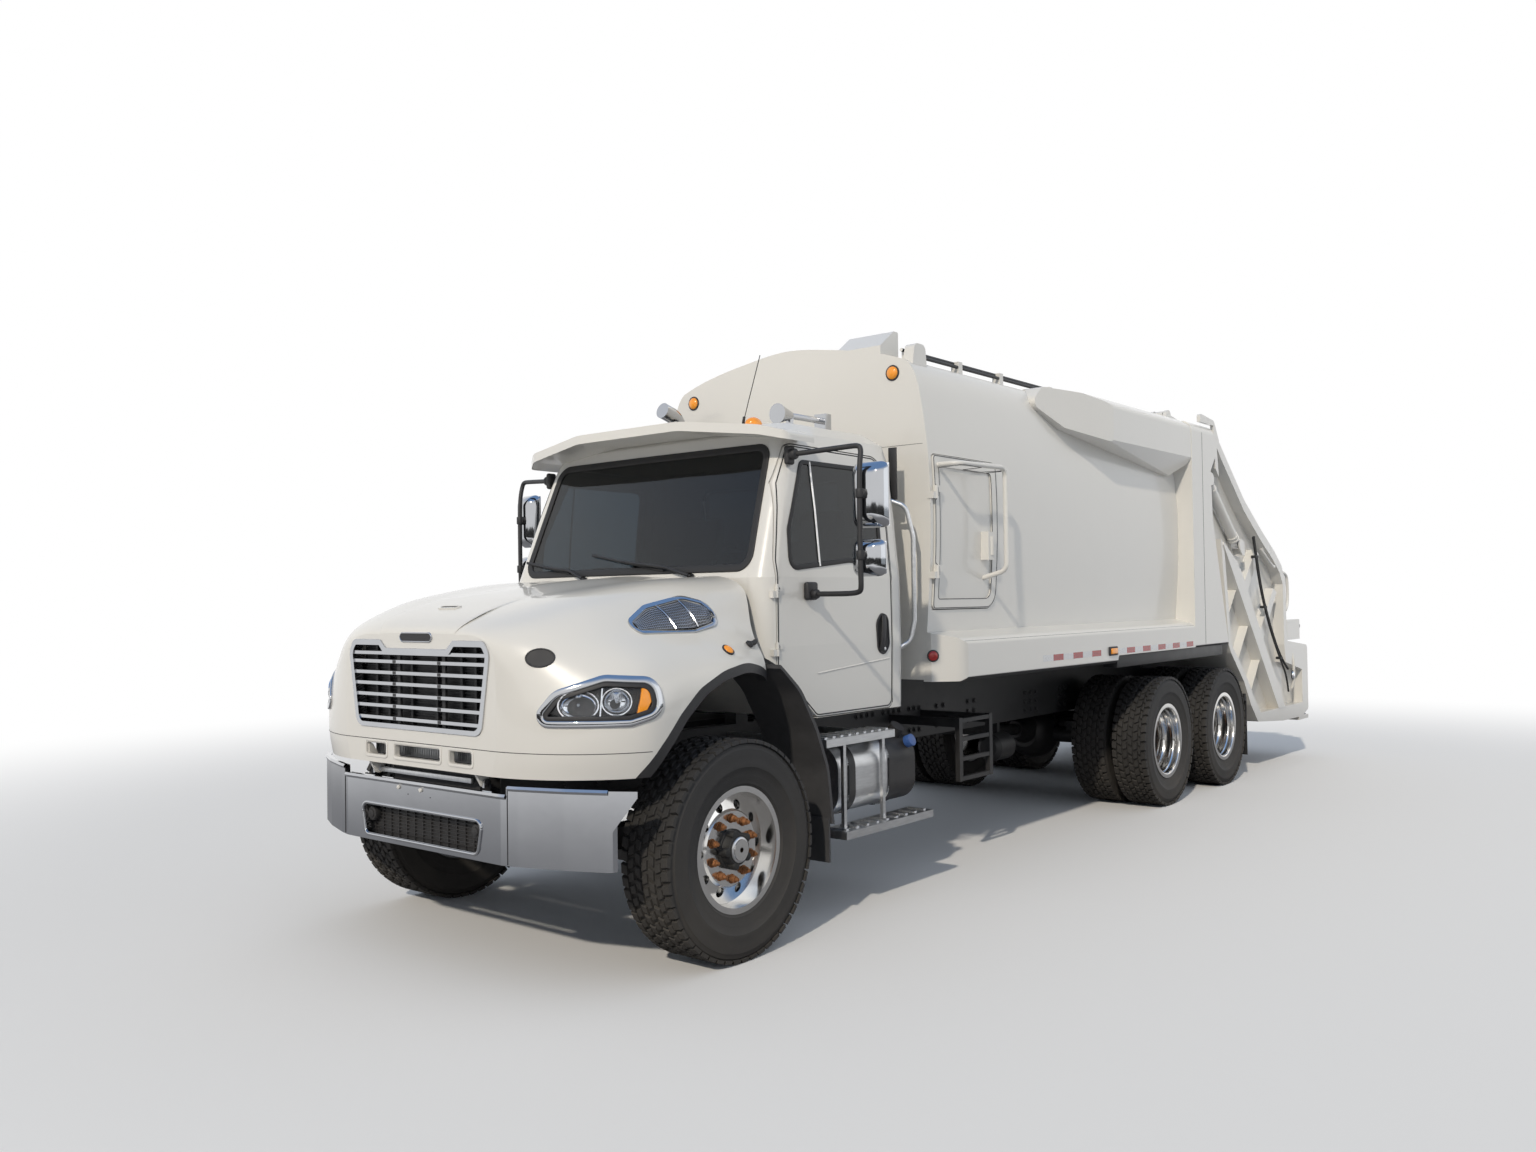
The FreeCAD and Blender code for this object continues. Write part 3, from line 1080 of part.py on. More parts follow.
def make_body():
    """The load body: a curved shell closed at the front and open to the tailgate, on its own sills."""
    rear = SEAM_TOP_X - 320
    outer = body_solid(0.0, rear, BODY_FRONT)
    inner = body_solid(BODY_WALL, rear - 10, BODY_FRONT - BODY_WALL)
    shell = outer.cut(inner).common(seam_side(SEAM_GAP / 2))
    sills = [box(BODY_FRONT - 40, RAIL_REAR + 330, s * (RAIL_OUTER_Y - 85), s * RAIL_OUTER_Y, RAIL_TOP,
                 BODY_FLOOR + 4) for s in (1, -1)]
    guard = prism("xz", [(BODY_FRONT, 3180), (BODY_FRONT, 3262), (BODY_FRONT - 150, 3372, 10),
                         (BODY_FRONT - 200, 3372, 10), (BODY_FRONT - 200, 3180)], 406, 745)
    guard = guard.cut(body_solid(BODY_WALL / 2, rear, BODY_FRONT))
    shell = fuse(shell, *sills, guard)
    shell = shell.cut(access_block(DOOR_GAP))
    hx, hy = ACCESS_HINGE
    knuckles = [fuse(rod((hx, hy, z - 40), (hx, hy, z), 12.0), box(hx, hx + 40, hy - 40, hy + 6, z - 40, z))
                for z in ACCESS_HINGE_Z]
    save("body_shell", fuse(shell, *knuckles))

    panel = outer.cut(inner).common(access_block(0))
    proud = body_solid(-9.0, rear, BODY_FRONT).cut(body_solid(0.0, rear, BODY_FRONT))
    x0, x1, z0, z1 = ACCESS
    inset_points = [(x0 + 70, z0 + 60, 60), (x1 - 55, z0 + 60, 20), (x1 - 55, z1 - 70, 20),
                    (x0 + 70, z1 - 70, 30)]
    rim = proud.common(access_block(0)).cut(prism("xz", inset_points, 900, 1200))
    y = HALF_WIDTH + 14
    handrail = pipe([(-1990, 1060, 2500), (-1990, y, 2500), (-2560, y, 2512), (-2560, y, 1862),
                     (-2540, 1050, 1810)], 16.0, 60.0)
    handrail = handrail.cut(body_solid(BODY_WALL / 2, rear, BODY_FRONT))
    latch = fuse(box(-2590, -2500, 1070, 1140, 1930, 2110), rod((-2545, 1130, 2080), (-2545, 1130, 1960),
                     22.0))
    latch = latch.cut(body_solid(BODY_WALL / 2, rear, BODY_FRONT))
    leaves = []
    for z in ACCESS_HINGE_Z:
        leaves.append(rod((hx, hy, z + SEAT_GAP), (hx, hy, z + 40), 12.0))
        leaves.append(box(hx - 50, hx, hy - 24, hy + 6, z + SEAT_GAP, z + 40))
    sockets = [rod((hx, hy, z - 41), (hx, hy, z), 13.0) for z in ACCESS_HINGE_Z]
    leaf = fuse(panel, rim, handrail, latch).cut(sockets)
    save("access_door", fuse(leaf, *leaves))

    outer_y = HALF_WIDTH
    skirt = prism("yz", [(1040, 1490), (1190, 1452, 30), (outer_y, 1420, 30),
                         (outer_y, SKIRT_BOTTOM + 20, 20), (outer_y - 20, SKIRT_BOTTOM, 20),
                      (1020, SKIRT_BOTTOM)], BODY_REAR, BODY_FRONT)
    taper = prism("xy", [(BODY_FRONT + 1, 1000), (BODY_FRONT + 1, 1075),
                         (BODY_FRONT - 150, outer_y + 1, 150), (BODY_REAR, outer_y + 1), (BODY_REAR, 1000)],
                  1000, 1600)
    notch = prism("xz", [(-4240, 1100), (-4290, 1246, 20), (BODY_REAR, 1246), (BODY_REAR, 1100)], 900, 1300)
    skirt = skirt.common(taper).cut(notch).cut(body_solid(-SEAT_GAP, rear, BODY_FRONT + 10))
    save("body_skirts", both(skirt))


def make_rear_frame():
    """The square frame round the body's rear, its cut-back side plates,
    hinge lugs and the gusset boxes ahead of it."""
    rear = SEAM_TOP_X - 320
    block = prism("yz", [(-HALF_WIDTH, 1246, 20), (HALF_WIDTH, 1246, 20), (HALF_WIDTH, 3170, 90),
                         (-HALF_WIDTH, 3170, 90)], rear, BODY_REAR)
    hollow = prism("yz", [(-HALF_WIDTH + 60, 1210), (HALF_WIDTH - 60, 1210), (HALF_WIDTH - 60, 3260),
                          (-HALF_WIDTH + 60, 3260)], rear - 5, BODY_REAR - 150)
    core = body_solid(-SEAT_GAP, rear - 5, BODY_REAR + 10)
    frame = block.cut(hollow).cut(core).common(seam_side(SEAM_GAP / 2))
    notch = prism("xz", [(-6900, 1200), (-6684, 1233), (-6342, 2340), (-6308, 2770), (-6533, 3010),
                         (-6560, 3400), (-6900, 3400)], -1300, 1300)
    frame = frame.cut(notch)
    lip = prism("xz", [(-6180, 3168), (-5870, 3168), (-5870, 3120), (-6180, 3120)], -HALF_WIDTH + 90,
                HALF_WIDTH - 90).cut(core)
    lugs = []
    for sign in (1, -1):
        for y in (820.0, 940.0):
            lug = prism("xz", [(TAILGATE_PIVOT_X - 75, 3150), (TAILGATE_PIVOT_X + 110, 3150),
                               (TAILGATE_PIVOT_X + 40, TAILGATE_PIVOT_Z + 55, 50),
                            (TAILGATE_PIVOT_X - 40, TAILGATE_PIVOT_Z + 55, 50)],
                        sign * y, sign * (y + 30))
            lugs.append(lug.cut(core))
        lugs.append(rod((TAILGATE_PIVOT_X, sign * 820, TAILGATE_PIVOT_Z),
                        (TAILGATE_PIVOT_X, sign * 970, TAILGATE_PIVOT_Z), 26.0))
    bx, bz = LIFT_BASE
    room = rod((bx, LIFT_Y - 46, bz), (bx, HALF_WIDTH - 22, bz), LIFT_BARREL_RADIUS + 12)
    ear = [(bx + 180, bz - 90, 30), (bx + 180, bz + 90, 30), (bx - 20, bz + 46, 40), (bx - 46, bz, 40),
           (bx - 20, bz - 46, 40)]
    inner_ear = prism("xz", ear, HALF_WIDTH - 131, LIFT_Y - LIFT_EYE_HALF - 4)
    outer_ear = prism("xz", ear, LIFT_Y + LIFT_EYE_HALF + 4, HALF_WIDTH)
    web = box(bx + 62, bx + 180, HALF_WIDTH - 131, HALF_WIDTH, bz - 60, bz + 60)
    pin = rod((bx, HALF_WIDTH - 131, bz), (bx, HALF_WIDTH, bz), LIFT_PIN_RADIUS)
    mount = fuse(inner_ear, outer_ear, web, pin)
    frame = frame.cut([room, mirrored(room)])
    frame = fuse(frame, mount, mirrored(mount))
    gusset = prism("xz", [(BODY_REAR, 3166), (-3460, 3166, 40), (-3330, 3040, 60), (-3700, 2895, 40),
                          (-5640, 2690, 40), (BODY_REAR, 2800)], 900, HALF_WIDTH - 4)
    lean = prism("yz", [(900, 2600), (1040, 2600), (HALF_WIDTH - 4, 2850), (HALF_WIDTH - 4, 3120, 60),
                        (1140, 3166), (900, 3166)], BODY_REAR, -3000)
    gusset = gusset.common(lean).cut(body_solid(-SEAT_GAP, rear, -3200))
    taper = prism("xy", [(BODY_REAR, 900), (BODY_REAR, HALF_WIDTH), (-4300, HALF_WIDTH), (-3300, 1020),
                         (-3300, 900)], 2500, 3300)
    gusset = gusset.common(taper)
    save("rear_frame", fuse(frame, lip, *lugs, gusset, mirrored(gusset)))


def make_roof_pipes():
    """Hydraulic lines along the roof's left edge, on brackets, from the front lug to the tailgate hinge."""
    y, z = 888.0, 3196.0
    lines = []
    for k in range(2):
        height = z + 4 + 26 * k
        lines.append(rod((BODY_FRONT - 60, y - 30 * k, height), (BODY_REAR + 22, y - 30 * k, height), 11.0))
    brackets = []
    for x in (-2010.0, -2600.0, -3150.0, -3900.0, -4800.0, -5700.0):
        brackets.append(box(x - 25, x + 25, y - 45, y + 11.5, 3120, z + 40))
    lug = prism("xz", [(BODY_FRONT - 40, 3100), (BODY_FRONT - 210, 3100), (BODY_FRONT - 190, 3260, 40),
                       (BODY_FRONT - 70, 3260, 40)], 880, 950)
    shape = fuse(lug, *brackets, *lines).cut(body_solid(-SEAT_GAP, SEAM_TOP_X, BODY_FRONT + 10))
    save("roof_pipes", shape)


def make_mudflaps():
    """Flaps behind the rear wheels on a bar across the frame's end,
    and the quarter guards behind the front wheels."""
    x = REAR_AXLE_2 - REAR_TYRE_RADIUS - 60
    flaps = []
    for sign in (1, -1):
        flap = box(x - 8, x + 4, sign * 600, sign * 1200, 200, 735)
        bar = box(x + 4, x + 44, sign * RAIL_OUTER_Y, sign * 1200, 700, 765)
        strut = box(x + 4, RAIL_REAR + 90, sign * RAIL_OUTER_Y, sign * (RAIL_OUTER_Y + 12), RAIL_BOTTOM + 4,
                    RAIL_BOTTOM + 36)
        flaps.append(fuse(flap, bar, strut))
    save("mudflaps", Part.makeCompound(flaps))

    guard = arch_tool(40, 800, 1180).cut(arch_tool(22, 700, 1300))
    guard = guard.common(box(-900, -330, 700, 1300, 520, 1380))
    flap = box(-735, -722, 880, 1170, 330, 560)
    arm = box(-760, -722, RAIL_OUTER_Y, 1100, 800, 840)
    save("splash_guards", both(fuse(guard, flap, arm)))


# Tailgate

TAILGATE_TOP = [(-6540, 3058), (-7202, 2563), (-7678, 2300), (-8064, 2107), (-8279, 1972), (-8399, 1822),
                (-8406, 1470)]


def slide_vector(length):
    angle = math.radians(SLIDE_ANGLE)
    return (-length * math.cos(angle), -length * math.sin(angle))


SWEEP_LOW = (-8100.0, 1500.0)


def seam_x(z, gap):
    """Where the seam is at a height, moved back by gap."""
    share = (z - SEAM_BOTTOM_Z) / (SEAM_TOP_Z - SEAM_BOTTOM_Z)
    return SEAM_BOTTOM_X + share * (SEAM_TOP_X - SEAM_BOTTOM_X) - gap


def tailgate_side(y0, y1):
    """The whole side profile of the tailgate between two widths."""
    gap = SEAM_GAP / 2
    rear = REAR_END
    points = [(seam_x(SEAM_BOTTOM_Z, gap), SEAM_BOTTOM_Z + 4),
              (seam_x(3110, gap), 3110)] + TAILGATE_TOP[:-1]
    points += [(-8406, 1470, 60), (-8420, 1210, 30), (rear + 30, 1150, 20), (rear, 1120), (rear, 480, 40),
               (-8873, 418, 40), (-8233, 425, 60), (-7468, 480, 60), (-7276, 652, 80),
               (-7094, 880, 100), (-6759, 1160, 80)]
    return prism("xz", points, y0, y1)


def hopper_space():
    """The room inside the tailgate: the throat behind the body,
    the trough that the sweep blade follows and the loading mouth."""
    w = TAILGATE_HALF_WIDTH - TAILGATE_WALL
    reach = SWEEP_RADIUS + SWEEP_CLEARANCE
    cx, cz = SWEEP_LOW
    trough = rod((cx, -w, cz), (cx, w, cz), reach)
    trough = trough.common(box(cx - reach - 1, cx + reach, -w, w, cz - reach, cz + 10))
    ramp_angle = math.radians(-50)
    foot = (cx + reach * math.cos(ramp_angle), cz + reach * math.sin(ramp_angle))
    top = TAILGATE_TOP
    wall = TAILGATE_WALL
    throat = prism("xz", [
        (foot[0] - 200, foot[1] + 20), (foot[0], foot[1]), (-6866, 1230), (SEAM_BOTTOM_X + 60, 1230),
                (SEAM_TOP_X + 120, 3070), (-6520, 3058 - wall - 4),
        (top[1][0] + 6, top[1][1] - wall - 6), (top[2][0] + 4, top[2][1] - wall - 4),
                (top[3][0] + 6, top[3][1] - wall - 4), (top[4][0] + 14, top[4][1] - wall - 2),
        (-8700, 1700), (-8700, cz), (cx, cz)], -w, w)
    mouth = box(REAR_END - 50, -8300, -w, w, 1146, 1940)
    rear_cut = prism("xz", [(-8250, cz - 5), (REAR_END - 50, cz - 5), (REAR_END - 50, 1146),
                            (cx - reach + 55, 1146), (cx - reach, cz - 100), (cx, cz - 100)], -w, w)
    return trough, throat, mouth, rear_cut


def make_tailgate():
    """The tailgate: a hollow hopper with ribbed sides, edge flanges,
    diagonal slide tracks and hinge arms."""
    solid = tailgate_side(-TAILGATE_HALF_WIDTH, TAILGATE_HALF_WIDTH)
    shell = solid.cut(list(hopper_space()))
    save("tailgate_shell", shell)

    inner_y, outer_y = TAILGATE_HALF_WIDTH, HALF_WIDTH - 8
    side = tailgate_side(inner_y, outer_y)
    gap = SEAM_GAP / 2
    band = 70.0
    core = prism("xz", [
        (seam_x(SEAM_BOTTOM_Z, gap + band), 1235), (seam_x(2990, gap + band), 2990), (-6600, 2900),
                (-7190, 2462), (-7650, 2205), (-8025, 2018), (-8215, 1898), (-8315, 1780), (-8322, 1180),
        (-8360, 1000), (REAR_END + 200, 900), (REAR_END + 200, 560), (-8300, 560), (-8150, 560),
                (-7560, 560), (-7380, 700), (-7160, 930), (-6820, 1200)], inner_y - 1, outer_y + 1)
    frame = side.cut(core)
    track = prism("xz", [(-6640, 2240), (-6745, 2240), (-8290, 560), (-8080, 560), (-6600, 2130)], inner_y,
                  outer_y + 8)
    ribs = []
    ux, uz = -math.cos(math.radians(SLIDE_ANGLE)), -math.sin(math.radians(SLIDE_ANGLE))
    for t in (520.0, 980.0, 1440.0):
        x, z = -6680 + ux * t, 2185 + uz * t
        ribs.append(prism("xz", [(x + 30, z - 60), (x - 30, z), (x + 430, z - 470), (x + 490, z - 530)],
                          inner_y, outer_y - 20).common(side))
    for t, length in ((620.0, 640.0), (1250.0, 800.0)):
        x, z = -6740 + ux * t, 2185 + uz * t
        ribs.append(prism("xz", [(x + 10, z - 90), (x - 30, z + 40), (x - length * 0.62, z + length * 0.60),
                                 (x - length * 0.62 - 100, z + length * 0.60 - 40), (x - 70, z - 100)],
                        inner_y, outer_y - 20).common(side))
    px, pz = TAILGATE_PIVOT_X, TAILGATE_PIVOT_Z
    arms = prism("xz", [(px, pz - 50), (px - 20, pz + 46), (-6440, 3232, 60), (-6556, 3066), (-6556, 3040),
                        (-6425, 3040), (-6425, 3182), (px - 80, 3186)], 862, 930)
    arms = fuse(arms, rod((px, 862, pz), (px, 930, pz), 50.0))
    arms = arms.cut(rod((TAILGATE_PIVOT_X, 800, TAILGATE_PIVOT_Z),
                        (TAILGATE_PIVOT_X, 1000, TAILGATE_PIVOT_Z), 26.0 + SEAT_GAP))
    plate = prism("xz", [(-6100, 3180), (-6100, 3252, 30), (-6440, 3222, 60), (-6556, 3058), (-6556, 3012),
                         (-6425, 3012), (-6425, 3178)], outer_y - 30, outer_y)
    bridge = box(-6545, -6425, 862, outer_y, 3040, 3066)
    flank = fuse(frame, track, *ribs, plate, bridge, arms)
    ex, ez = LIFT_EYE
    clear = LIFT_CLEARANCE
    corridor = prism("xz", [(ex - 45 - clear, ez + 10), (ex - 45 - clear, ez - 185 - clear, 46),
                            (ex - 30, ez - 221 - clear), (ex + 60, ez - 221 - clear),
                            (ex + 120, ez - 163 - clear), (ex + 800, ez + 177 - clear), (-6280, 2830),
                            (-6420, 2830), (ex - 60, ez + 90)], inner_y, HALF_WIDTH + 5)
    flank = flank.cut(corridor)
    left = ex - 45 - clear
    ear = [(ex + 42, ez + 8, 28), (ex - 8, ez + 52, 28), (left - 52, ez + 26, 12), (left - 52, ez - 104, 12),
           (left + 4, ez - 104, 12), (ex + 16, ez - 46, 28)]
    reach = LIFT_EYE_HALF + 4
    block = prism("xz", [(left, ez + 26), (left - 52, ez + 26, 12), (left - 52, ez - 104, 12),
                         (left, ez - 104)], inner_y, outer_y)
    ears = [prism("xz", ear, inner_y, LIFT_Y - reach), prism("xz", ear, LIFT_Y + reach, outer_y), block]
    step = box(REAR_END + 10, REAR_END + 330, inner_y - 300, outer_y, 385, 425)
    post = box(-8844, -8424, outer_y - 90, outer_y, 1218, 1421)
    lamp = box(-8860, -8844, outer_y - 80, outer_y - 10, 1240, 1400)
    flank = fuse(flank, *ears, step, post, lamp)
    flank = flank.cut(solid)
    save("tailgate_flanks", both(flank))


def make_packer():
    """The slide panel and the sweep blade hinged to its lower edge."""
    w = TAILGATE_HALF_WIDTH - TAILGATE_WALL - 12
    dx, dz = slide_vector(SLIDE_STROKE)
    hx, hz = SWEEP_LOW[0] - dx, SWEEP_LOW[1] - dz
    ux, uz = slide_vector(1.0)
    half, length = 48.0, 600.0

    def at(along, across):
        return (hx - ux * along + uz * across * -1, hz - uz * along + ux * across)
    panel = prism("xz", [at(95, -half), at(95, half), at(length, half), at(length, -half)], -w, w)
    ears = []
    for y in (-w, -40.0, w - 80):
        ear = prism("xz", [at(130, -half), at(130, half), at(-20, 52), at(-20, -52)], y, y + 80)
        ear = fuse(ear, rod((hx, y, hz), (hx, y + 80, hz), 62.0)).cut(rod((hx, y - 5, hz), (hx, y + 90, hz),
                30.0 + SEAT_GAP))
        ears.append(ear)
    wall = TAILGATE_HALF_WIDTH - TAILGATE_WALL
    shoes = []
    for sign in (1, -1):
        for along in (150.0, 480.0):
            shoes.append(prism("xz", [at(along, -30), at(along, 30), at(along + 90, 30),
                                      at(along + 90, -30)], *sorted((sign * (w - 5),
                             sign * (wall - SEAT_GAP)))))
    save("slide_panel", fuse(panel, *ears, *shoes))

    angle = math.radians(-50)
    cx, cz = math.cos(angle), math.sin(angle)

    def blade_at(along, across):
        return (hx + cx * along - cz * across, hz + cz * along + cx * across)
    blade = prism("xz", [blade_at(110, -42), blade_at(110, 42), blade_at(SWEEP_RADIUS - 80, 42),
                         blade_at(SWEEP_RADIUS, 0), blade_at(SWEEP_RADIUS, -42)], -w, w)
    lugs = []
    for y0, y1 in ((-w + 84, -w + 164), (-128.0, -44.0), (44.0, 128.0), (w - 164, w - 84)):
        lug = prism("xz", [blade_at(140, -42), blade_at(140, 42), blade_at(-10, 50), blade_at(-10, -50)],
                    y0, y1)
        lugs.append(fuse(lug, rod((hx, y0, hz), (hx, y1, hz), 60.0)))
    pin = rod((hx, -w, hz), (hx, w, hz), 30.0)
    save("sweep_blade", fuse(blade, pin, *lugs))


def make_lift_cylinders():
    """One cylinder a side: its barrel on the body's frame, its rod's eye on the tailgate."""
    y, base, eye = LIFT_Y, LIFT_BASE, LIFT_EYE
    length = math.hypot(eye[0] - base[0], eye[1] - base[1])
    dx, dz = (eye[0] - base[0]) / length, (eye[1] - base[1]) / length

    def at(t):
        return (base[0] + dx * t, y, base[1] + dz * t)

    def across(point, half, radius):
        return rod((point[0], y - half, point[1]), (point[0], y + half, point[1]), radius)
    big = LIFT_BARREL_RADIUS
    end = length - 72
    barrel = fuse(rod(at(big + 21), at(end), big), rod(at(10), at(big + 25), LIFT_EYE_HALF - 1),
                  across(base, LIFT_EYE_HALF, big))
    barrel = barrel.cut([across(base, big + 5, LIFT_PIN_RADIUS + SEAT_GAP / 3),
                         rod(at(big + 24), at(end + 5), LIFT_ROD_RADIUS + SEAT_GAP)])
    rod_piece = fuse(rod(at(72), at(length - 20), LIFT_ROD_RADIUS), across(eye, LIFT_EYE_HALF, big))
    rod_piece = rod_piece.cut(across(eye, big, LIFT_PIN_RADIUS + SEAT_GAP))
    for side, sign in (("left", 1), ("right", -1)):
        save("lift_barrel_" + side, barrel if sign > 0 else mirrored(barrel))
        save("lift_rod_" + side, rod_piece if sign > 0 else mirrored(rod_piece))


def main():
    os.makedirs("parts", exist_ok=True)
    make_wheels()
    make_front_axle()
    make_knuckles()
    make_rear_axles()
    make_rear_suspension()
    make_chassis_frame()
    make_bumper()
    make_engine()
    make_driveshaft()
    make_radiator()
    make_hood()
    make_cab()
    make_cab_interior()
    make_mirrors()
    make_cab_outside()
    make_steps_and_tanks()
    make_body()
    make_rear_frame()
    make_roof_pipes()
    make_mudflaps()
    make_tailgate()
    make_packer()
    make_lift_cylinders()


main()
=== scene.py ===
# %% [markdown]
# # A rear-loading refuse truck
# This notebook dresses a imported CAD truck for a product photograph. The solids carry the truck's form: frame, cab,
# hood, body, tailgate and wheels. What is added here is what a solid is too coarse for: tyre tread, wheel nuts, lamps
# behind their lenses, rubber seals, wipers, hoses and reflective tape. X points forward, Y to the driver's left, Z up.

# %% Load the truck
import json
import math

import bpy
from mathutils import Matrix, Vector
from mathutils.bvhtree import BVHTree


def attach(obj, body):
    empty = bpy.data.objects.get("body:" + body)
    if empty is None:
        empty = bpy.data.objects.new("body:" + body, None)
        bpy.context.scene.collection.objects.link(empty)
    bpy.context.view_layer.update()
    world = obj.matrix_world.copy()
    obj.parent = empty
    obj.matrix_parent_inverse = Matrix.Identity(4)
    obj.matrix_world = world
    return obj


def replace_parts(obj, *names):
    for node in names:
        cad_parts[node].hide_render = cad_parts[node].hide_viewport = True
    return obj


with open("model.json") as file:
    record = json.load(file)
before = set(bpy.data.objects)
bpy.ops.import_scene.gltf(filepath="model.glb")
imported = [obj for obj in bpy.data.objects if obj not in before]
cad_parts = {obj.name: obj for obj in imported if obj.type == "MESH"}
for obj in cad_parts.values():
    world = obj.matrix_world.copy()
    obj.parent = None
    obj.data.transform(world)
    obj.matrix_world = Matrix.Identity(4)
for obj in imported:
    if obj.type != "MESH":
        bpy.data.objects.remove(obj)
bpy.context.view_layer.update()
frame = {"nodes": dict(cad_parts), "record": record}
FRONT_AXLE = 4.0775

# %% [markdown]
# ## Camera
# The photographer stood a little ahead of the left front corner, at eye height, with a wide lens. The place and lens
# were worked out from the wheels' ellipses, so the camera is set from numbers and not by eye. A camera looks along
# its own -Z, so the three columns of its matrix are right, up and back.

# %% Camera at the photograph's place
yaw, pitch, roll = 3.8298, -0.0196, -0.0137
eye = Vector((4.33274 + FRONT_AXLE, 4.94196, 1.69494))
forward = Vector((math.cos(yaw) * math.cos(pitch), math.sin(yaw) * math.cos(pitch), -math.sin(pitch)))
right = forward.cross(Vector((0, 0, 1))).normalized()
up = right.cross(forward)
tilted_right = right * math.cos(roll) + up * math.sin(roll)
tilted_up = up * math.cos(roll) - right * math.sin(roll)
lens = bpy.data.cameras.new("camera")
lens.sensor_width = 36.0
lens.lens = 28.417
lens.clip_start = 0.1
lens.clip_end = 200.0
camera = bpy.data.objects.new("camera", lens)
bpy.context.scene.collection.objects.link(camera)
camera.matrix_world = Matrix.Translation(eye) @ Matrix((tilted_right, tilted_up, -forward)).transposed().to_4x4()
bpy.context.scene.camera = camera
bpy.context.scene.view_settings.view_transform = "Standard"
print("camera at", [round(v, 2) for v in eye], "lens", lens.lens, "mm")

# %% [markdown]
# ## Finishes
# Every surface on a real truck has some grain: orange peel in enamel, a brushed grain in aluminium, road dust low
# down. A material here is a Principled shader with a noise or two on Object coordinates, which stay fixed to the
# piece when it moves. Values that are the same all over are set on the shader's own sockets.

# %% Helpers for shader nodes
def add(tree, kind, fed={}, operation=None, **values):
    """A shader node with its values set and its inputs fed by other nodes' sockets."""
    made = tree.nodes.new("ShaderNode" + kind)
    if kind == "Mix":
        made.data_type = "RGBA"
    if operation:
        made.operation = operation
    for key, value in values.items():
        made.inputs[key.replace("_", " ")].default_value = value
    for key, socket in fed.items():
        tree.links.new(socket, made.inputs[key])
    return made


def ramp(tree, factor, *stops):
    """Two colours, each given with its position, blended by a factor."""
    made = add(tree, "ValToRGB", {"Fac": factor})
    for element, (position, colour) in zip(made.color_ramp.elements, stops):
        element.position = position
        element.color = (*colour, 1)
    return made.outputs["Color"]


print("shader helpers ready")

# %% A helper that builds one finish
finishes = {}
DUST_SCALE = 3.1
BUMP_DEPTH = 0.01
SMOOTHEST = 0.02


def finish(name, colour, metallic=0.0, rough=0.5, spread=0.06, tone=0.05, scale=6.0, bump=0.02, bump_scale=60.0,
           stretch=(1, 1, 1), dirt=0.0, dirt_top=0.9, dirt_colour=(0.16, 0.13, 0.10), coat=0.0, **sockets):
    """A Principled material: colour drifts by tone, roughness by spread, and dust gathers below dirt_top metres."""
    made = bpy.data.materials.new(name)
    made.use_nodes = True
    tree = made.node_tree
    shader = tree.nodes["Principled BSDF"]
    place = add(tree, "TexCoord").outputs["Object"]
    grain_place = add(tree, "Mapping", {"Vector": place}, Scale=stretch).outputs["Vector"]
    cloud = add(tree, "TexNoise", {"Vector": grain_place}, Scale=scale, Detail=4.0).outputs["Fac"]
    tint = ramp(tree, cloud, (0.25, [max(0.0, c * (1 - tone)) for c in colour]),
                (0.75, [min(1.0, c * (1 + tone)) for c in colour]))
    if dirt > 0:
        height = add(tree, "SeparateXYZ", {"Vector": place}).outputs["Z"]
        fade = add(tree, "MapRange", {"Value": height}, From_Min=dirt_top, From_Max=0.0, To_Max=dirt)
        dust = add(tree, "TexNoise", {"Vector": place}, Scale=DUST_SCALE, Detail=8.0)
        amount = add(tree, "Math", {0: fade.outputs["Result"], 1: dust.outputs["Fac"]}, "MULTIPLY")
        tint = add(tree, "Mix", {"Factor": amount.outputs["Value"], "A": tint}, B=(*dirt_colour, 1)).outputs["Result"]
    tree.links.new(tint, shader.inputs["Base Color"])
    gloss = add(tree, "MapRange", {"Value": cloud}, To_Min=max(SMOOTHEST, rough - spread),
                To_Max=min(1.0, rough + spread))
    tree.links.new(gloss.outputs["Result"], shader.inputs["Roughness"])
    if bump > 0:
        grain = add(tree, "TexNoise", {"Vector": grain_place}, Scale=bump_scale, Detail=3.0)
        relief = add(tree, "Bump", {"Height": grain.outputs["Fac"]}, Strength=bump, Distance=BUMP_DEPTH)
        tree.links.new(relief.outputs["Normal"], shader.inputs["Normal"])
    if coat:
        sockets.update(Coat_Weight=coat, Coat_Roughness=0.05)
    for key, value in {"Metallic": metallic, **sockets}.items():
        shader.inputs[key.replace("_", " ")].default_value = value
    finishes[name] = made


print("finish() ready")

# %% [markdown]
# ## The truck's own finishes
# Fleet trucks are sprayed white over everything but the chassis, and they age by dust, so the enamel and the black
# paint get warmer and duller towards the ground. Chrome stays almost even, the grain of brushed aluminium is stretched
# along the truck, and glass is a clear shader with a weak tint. One function with plain values keeps them alike.

